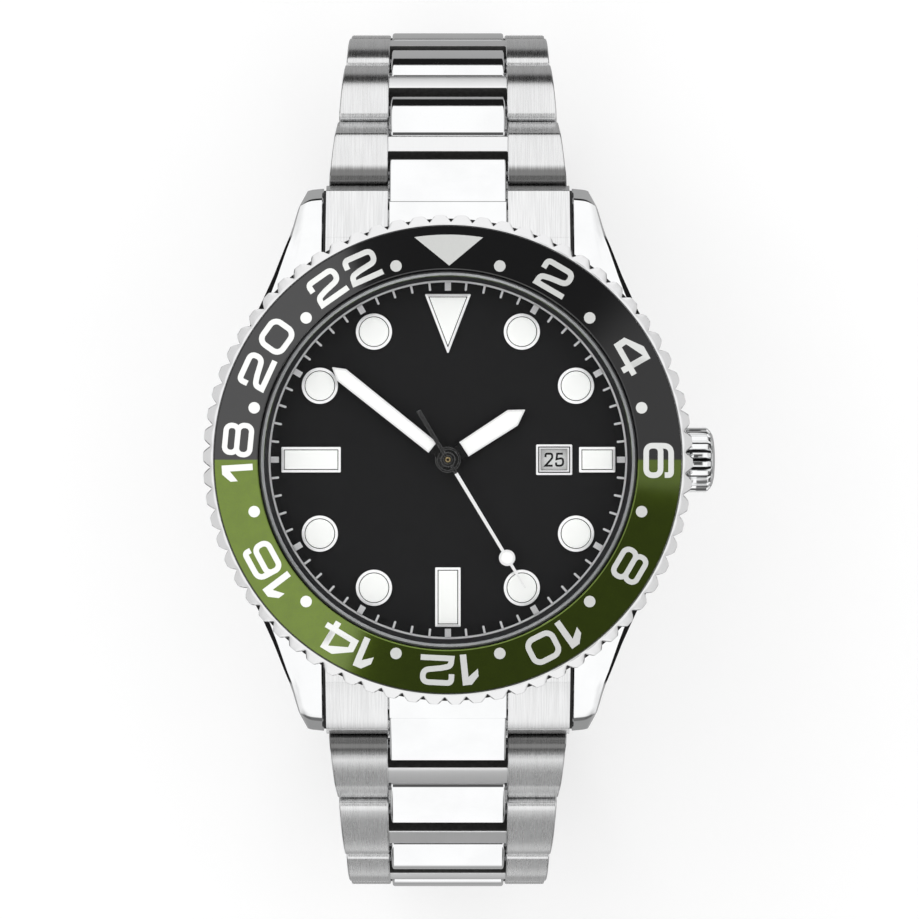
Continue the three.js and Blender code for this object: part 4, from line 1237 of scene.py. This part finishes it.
SECOND_TURN = rad(-148.9)
shaft = turned([(-0.16, 1.4), (0.16, 1.4), (0.14, 10.0), (0.115, 13.2), (0.0, 13.28),
                (-0.115, 13.2), (-0.14, 10.0)], SECOND_TURN)
disc_at = (*turned([(0, 10.1)], SECOND_TURN)[0], 0)
ob = raw("shaft", prism(shaft, 8.90, 9.02, putz))
boolean(ob, lathe([(0, 8.88), (0.72, 8.88), (0.72, 9.0), (0.68, 9.04), (0, 9.04)], 48,
                  closed=False, at=disc_at))
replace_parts(merge([ob], "second_hand_shaft", M["hand"], "second", "hand_white"), "second_hand")
make("second_hand_lume", lathe([(0, 9.03), (0.5, 9.03), (0.47, 9.052), (0, 9.06)], 40,
                               closed=False, at=disc_at),
     M["lume"], "second", (), "hand_white", angle=25)


def tail_loop(d, z):
    return at_height(turned([(-0.22 + d, -5.05 + d), (0.22 - d, -5.05 + d),
                             (0.16 - d * 0.7, 1.42), (-0.16 + d * 0.7, 1.42)], SECOND_TURN), z)


ob = raw("tail", loft([tail_loop(0, 8.90), tail_loop(0, 8.98), tail_loop(0.2, 9.06)]))
boolean(ob, lathe([(0, 8.85), (0.64, 8.85), (0.64, 9.07), (0.57, 9.095), (0.42, 9.10),
                   (0.41, 9.15), (0.34, 9.175), (0.30, 9.14), (0, 9.14)], 48, closed=False))
merge([ob], "second_hand_tail", M["hub"], "second", "hand_white", 9)
make("second_hand_pipe", lathe([(0.10, 9.0), (0.24, 9.0), (0.24, 9.2), (0.20, 9.235),
                                (0.13, 9.235), (0.10, 9.2)], 32),
     M["brass"], "second", (), "brass", angle=25)
make("second_hand_arbor", lathe([(0, 5.1), (0.2, 5.1), (0.2, 8.95), (0, 8.95)], 24,
                                closed=False),
     M["brass"], "second", (), "brass", angle=25)

# ---------------------------------------------------------------- crown
FLUTES, FLUTE_STEPS = 22, 16
CROWN = [  # radius on a ridge, in a groove, x
    (1.72, 1.72, 22.5), (1.72, 1.72, 20.95), (2.45, 2.4, 20.95), (2.62, 2.48, 21.0),
    (2.84, 2.52, 21.2), (2.9, 2.54, 21.4), (2.9, 2.54, 22.92), (2.82, 2.53, 23.08),
    (2.60, 2.5, 23.28), (2.48, 2.47, 23.36), (2.43, 2.43, 23.37), (2.40, 2.40, 23.42),
    (2.2, 2.2, 23.53), (1.7, 1.7, 23.65), (1.0, 1.0, 23.72), (0.4, 0.4, 23.745)]


def flute(t):
    """0 in the groove, about 1 on the ridge"""
    x = abs(2 * t - 1)
    ridge = 1.0 - 0.06 * x
    if x < 0.52:
        return ridge
    return ridge * max(0.0, 1.0 - ((x - 0.52) / 0.34)) if x < 0.86 else 0.0


loops, shade_depths = [], []
count = FLUTES * FLUTE_STEPS
for i, (ridge_r, groove_r, x) in enumerate(CROWN):
    loop = []
    for k in range(count):
        q = flute((k % FLUTE_STEPS) / FLUTE_STEPS)
        r = groove_r + (ridge_r - groove_r) * q
        a = 2 * math.pi * (k + FLUTE_STEPS * 0.5) / count
        loop.append((x, r * math.cos(a), CROWN_Z + r * math.sin(a)))
        # painted shade deep in the grooves of the grip
        shade_depths.append(max(0.0, 1.0 - q * 1.6) if 3 <= i <= 8 else 0.0)
    loops.append(loop)
shape = loft(loops)
crown = make("crown_steel", shape, M["crown"], "crown", ("crown",), "steel_polished")
store_cavity(crown, shape[0], shade_depths)

# ---------------------------------------------------------------- clasp
HINGE_A = (17.3, END_Z)                          # (y, z), cover to middle blade
HINGE_B = (-15.5, END_Z + 0.6)                   # middle blade to inner blade
HINGE_PIN_R = 0.45
LID_LOW = END_Z - 1.9
LID_HIGH = LID_LOW + 0.8
MIDDLE_LOW, MIDDLE_HIGH = END_Z - 0.35, END_Z + 0.45
INNER_LOW, INNER_HIGH = END_Z + 1.15, END_Z + 1.95


def clasp_cover():
    lid = round_poly([(-18.6, LID_LOW + 0.3), (-18.05, LID_LOW), (18.05, LID_LOW),
                      (18.6, LID_LOW + 0.3), (18.6, LID_HIGH), (-18.6, LID_HIGH)],
                     [0.2, 0.3, 0.3, 0.2, 0, 0], 4)
    wall = round_poly([(-18.6, LID_LOW + 0.35), (18.6, LID_LOW + 0.35), (18.6, END_Z + 0.9),
                       (18.0, END_Z + 1.4), (-18.0, END_Z + 1.4), (-18.6, END_Z + 0.9)],
                      [0.0, 0.0, 0.3, 0.4, 0.4, 0.3], 4)
    # tongue that rounds the last pin on the 6 side
    tongue = [(-17.2, LID_LOW + 0.5), (-17.2, END_Z + 1.2), (-END_Y, END_Z + 1.12)]
    tongue += [(-END_Y + 1.13 * math.cos(rad(a)), END_Z + 1.13 * math.sin(rad(a)))
               for a in range(102, 270, 12)]
    tongue += [(-END_Y, END_Z - 1.13), (-18.0, LID_LOW + 0.5)]
    parts = [prism(lid, -9, 9, putx), prism(wall, 8.2, 9.0, putx), prism(wall, -9.0, -8.2, putx),
             prism(tongue, -5.2, 5.2, putx)]
    cuts = [box(-5.6, 5.6, 18.15, 19.5, LID_LOW - 1, END_Z + 3),
            rod((-END_Y, END_Z), 0.64, -6, 6)]
    for t in (1, -1):
        x0, x1 = span(t, 5.5, 8.4)
        parts.append(rod(HINGE_A, 0.95, x0, x1))
        parts.append(box(x0, x1, 16.6, 18.0, LID_LOW + 0.4, END_Z - 0.3))
        cuts.append(box(*span(t, 7.9, 9.4), -11.0, -5.8, END_Z - 1.0, END_Z + 0.95))
    cover = solid_of("clasp_cover_steel", parts, [M["brushed"], M["flank"]], "clasp_cover",
                     ("clasp_cover",), "steel_satin", bevel=0.14, segs=2, angle=40, cuts=cuts)
    second_material(cover, faces_sideways)
    make("clasp_hinge_pin_a", rod(HINGE_A, HINGE_PIN_R, -6, 6), M["bare"], "clasp_cover", (),
         "steel_plain", angle=40)


def clasp_middle():
    y_a, y_b = HINGE_A[0], HINGE_B[0]
    parts = [box(-5.2, 5.2, y_a - 3, y_a - 0.1, MIDDLE_LOW, MIDDLE_HIGH),
             box(-6.8, 6.8, y_b + 2.0, y_a - 2.2, MIDDLE_LOW, MIDDLE_HIGH),
             rod(HINGE_A, 0.92, -5.2, 5.2),
             box(-2.5, 2.5, y_b, y_b + 3, MIDDLE_LOW + 0.05, MIDDLE_HIGH - 0.02),
             rod(HINGE_B, 1.0, -2.5, 2.5)]
    opening = round_poly([(-4, -6), (4, -6), (4, 8), (-4, 8)], 2.0, 6)
    solid_of("clasp_middle_steel", parts, M["blade"], "clasp_middle", ("clasp_middle_blade",),
             "steel_plain", bevel=0.1, segs=2, angle=40,
             cuts=[rod(HINGE_A, 0.58, -6, 6),
                   prism(opening, MIDDLE_LOW - 1, MIDDLE_HIGH + 1, putz)])
    make("clasp_hinge_pin_b", rod(HINGE_B, HINGE_PIN_R, -6.4, 6.4), M["bare"], "clasp_middle",
         (), "steel_plain", angle=40)


def clasp_inner():
    y_b, z_b = HINGE_B
    parts = [box(-6.6, 6.6, y_b + 1.4, 15.0, INNER_LOW, INNER_HIGH),
             box(-5.2, 5.2, 14.5, END_Y - 0.3, INNER_LOW + 0.01, INNER_HIGH - 0.01)]
    arm = [(y_b, z_b + 0.1), (y_b + 1.0, z_b + 0.1), (y_b + 2.2, INNER_LOW + 0.02),
           (y_b + 2.2, INNER_HIGH - 0.02), (y_b + 0.8, INNER_HIGH - 0.02), (y_b, z_b + 0.9)]
    for t in (1, -1):
        x0, x1 = span(t, 2.7, 6.59)
        parts += [rod(HINGE_B, 1.0, x0, x1), prism(arm, x0, x1, putx)]
    # hook round the last pin on the 12 side
    hook = [(19.65, INNER_HIGH), (19.65, END_Z - 0.3), (END_Y - 0.8, END_Z - 0.8),
            (END_Y, END_Z - 0.95), (END_Y + 0.62, END_Z - 0.66), (END_Y + 0.88, END_Z),
            (END_Y + 0.75, END_Z + 0.9), (END_Y, INNER_HIGH)]
    parts.append(prism(hook, -5.19, 5.19, putx))
    oval = round_poly([(-2.6, 8.0), (2.6, 8.0), (2.6, 13.0), (-2.6, 13.0)], 2.3, 8)
    solid_of("clasp_inner_steel", parts, M["blade"], "clasp_inner", ("clasp_inner_blade",),
             "steel_plain", bevel=0.1, segs=2, angle=40,
             cuts=[rod(HINGE_B, 0.6, -7, 7), prism(oval, INNER_LOW - 1, INNER_HIGH + 1, putz)])
    make("clasp_spring_bar", rod((END_Y, END_Z), 0.38, -5.3, 5.3), M["bare"], "clasp_inner", (),
         "steel_plain", angle=40)


clasp_cover()
clasp_middle()
clasp_inner()
button = round_poly([(-10.85, END_Z - 0.85), (-5.95, END_Z - 0.85), (-5.95, END_Z + 0.8),
                     (-10.85, END_Z + 0.8)], 0.45, 5)
for name, t in (("crown_side", 1), ("far_side", -1)):
    make(f"clasp_button_{name}_steel", prism(button, *span(t, 8.05, 9.75), putx), M["polished"],
         f"button_{name}", (f"clasp_button_{name}",), "steel_satin", bevel=0.16, angle=40)

# ---------------------------------------------------------------- CAD pieces that stay
KEPT = {"case_back_gasket": "rubber", "bezel_click_spring": "bare", "movement_plate": "brass",
        "movement_holder": "plastic", "battery": "bare", "crown_tube": "bare",
        "spring_bar_12": "bare", "spring_bar_6": "bare", "setting_lever": "bare",
        "winding_stem": "bare", "cannon_pinion": "brass", "hour_wheel": "brass"}
for name, finish in KEPT.items():
    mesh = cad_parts[name].data
    mesh.materials.clear()
    mesh.materials.append(M[finish])

# ---------------------------------------------------------------- floor (metres from here on)
bpy.ops.mesh.primitive_plane_add(size=4.0, location=(0, 0, CAD_BOX[0][2] - 0.0002))
floor = bpy.context.object
floor.name = "floor"
floor_mat, tree, bsdf = material("floor_pale")
tree.feed(bsdf, {
    "Base Color": tree.mix(tree.noise(tree.mapping(), scale=60), [0.62] * 3, [0.64] * 3),
    "Roughness": 0.9, "Specular IOR Level": 0.1,
    "Emission Color": (1, 1, 1, 1), "Emission Strength": 0.36})
floor.data.materials.append(floor_mat)
floor.visible_glossy = False


# ---------------------------------------------------------------- world
WHITE, GREY, BLACK = 1.12, 0.40, 0.012           # levels seen in reflections


def tent_level(sky, x, y, z, side_share):
    """grey ground, dark line and white tent, from below upward"""
    lower = sky.step(z, -0.56, -0.52, GREY, BLACK)
    # the dark line fades out toward the four diagonals
    diagonal = sky.mul(sky.step(side_share, 0.58, 0.66), sky.step(side_share, 0.74, 0.79, 1.0, 0.0))
    lower = sky.math("MAXIMUM", lower, sky.mul(diagonal, 0.42))
    # the tent is a little dimmer at its left and right walls
    wall = sky.mul(sky.step(sky.math("ABSOLUTE", x), 0.34, 0.66), sky.step(z, 0.70, 0.86, 1.0, 0.0))
    tent = sky.mul(sky.step(z, -0.29, -0.25), sky.inverse(sky.mul(wall, 0.26)))
    base = sky.add(sky.mul(lower, sky.step(z, -0.29, -0.25, 1.0, 0.0)), sky.mul(tent, WHITE))
    # toward the 6 side the tent ends higher: grey beside a narrow white card
    # that stands in line with the bracelet
    south = sky.mul(sky.step(y, -0.62, -0.50, 1.0, 0.0), sky.step(side_share, 0.46, 0.60, 1.0, 0.0))
    off_middle = sky.math("ABSOLUTE", x)
    strip = sky.step(off_middle, 0.04, 0.07, 1.0, 0.0)
    beside = sky.add(sky.step(z, 0.12, 0.50, 0.17, WHITE), sky.step(z, -0.58, -0.50, 0.16, 0.0))
    line = sky.mul(sky.step(z, -0.46, -0.43), sky.step(z, -0.36, -0.33, 1.0, 0.0))
    line = sky.mul(line, sky.step(off_middle, 0.16, 0.26))
    beside = sky.mul(beside, sky.inverse(sky.mul(line, 0.9)))
    card = sky.step(z, -0.84, -0.70, 0.30, WHITE)
    south_level = sky.add(sky.mul(strip, card), sky.mul(sky.inverse(strip), beside))
    return sky.add(sky.mul(south, south_level), sky.mul(sky.inverse(south), base))


def gap_level(sky, x, y, z):
    """dark gap straight above, where the camera looks down between two soft boxes"""
    in_x = sky.mul(sky.step(x, -0.083, -0.071), sky.step(x, 0.27, 0.36, 1.0, 0.0))
    in_y = sky.step(sky.math("ABSOLUTE", y), 0.34, 0.50, 1.0, 0.0)
    inside = sky.mul(sky.mul(in_x, in_y), sky.step(z, 0.0, 0.3))
    lighter = sky.mul(sky.step(x, 0.115, 0.15),
                      sky.mul(sky.step(y, -0.03, -0.018), sky.step(y, 0.09, 0.15, 1.0, 0.0)))
    dark = sky.add(0.085, sky.mul(lighter, 0.40))
    return sky.add(sky.mul(inside, dark), sky.inverse(inside))


def cards_level(sky, z, side_share):
    """four dark cards beside the tent, clear of the line of the bracelet"""
    across = sky.mul(sky.step(side_share, 0.76, 0.80), sky.step(side_share, 0.93, 0.96, 1.0, 0.0))
    upright = sky.mul(sky.step(z, 0.30, 0.40, 1.0, 0.0), sky.step(z, -0.30, -0.26))
    return sky.inverse(sky.mul(sky.mul(across, upright), 0.80))


world = bpy.data.worlds.new("studio")
bpy.context.scene.world = world
world.use_nodes = True
sky = Tree(world.node_tree)
background = next(n for n in sky.nodes if n.type == "BACKGROUND")
x, y, z = sky.xyz("Generated")
side_share = sky.math("DIVIDE", sky.math("ABSOLUTE", x),
                      sky.math("MAXIMUM", sky.hypot(x, y), 0.001))
reflected = sky.mul(sky.mul(tent_level(sky, x, y, z, side_share), gap_level(sky, x, y, z)),
                    cards_level(sky, z, side_share))
# the camera and diffuse light see a plain white room
is_glossy = sky.new("ShaderNodeLightPath").outputs["Is Glossy Ray"]
plain = sky.step(z, -0.2, 0.0, 0.75, 1.06)
level = sky.add(sky.mul(reflected, is_glossy), sky.mul(plain, sky.inverse(is_glossy)))
sky.feed(background, {"Strength": level, "Color": (1, 1, 1, 1)})

# ---------------------------------------------------------------- light and camera
light = bpy.data.lights.new("soft_upper_left", "AREA")
light.shape = "RECTANGLE"
light.size = light.size_y = 0.45
light.energy = 0.8
lamp = linked("soft_upper_left", light)
lamp.location = (-0.35, 0.45, 0.55)
toward_watch = Vector((0, 0, 0)) - Vector((-0.35, 0.45, 0.55))
lamp.rotation_euler = toward_watch.to_track_quat("-Z", "Y").to_euler()
lamp.visible_glossy = False

camera = bpy.data.cameras.new("camera")
camera_ob = linked("camera", camera)
camera_ob.location = (0, 0, 0.0108 + 0.415)      # focus height + distance, looking down
camera_ob.rotation_euler = (0, 0, 0)
camera.sensor_width = 36.0
camera.lens = 185.32753
camera.shift_x = 0.01262242
camera.shift_y = 0.000217628
camera.clip_start = 0.01
camera.clip_end = 10
scene = bpy.context.scene
scene.camera = camera_ob
scene.view_settings.view_transform = "Standard"
scene.view_settings.look = "None"
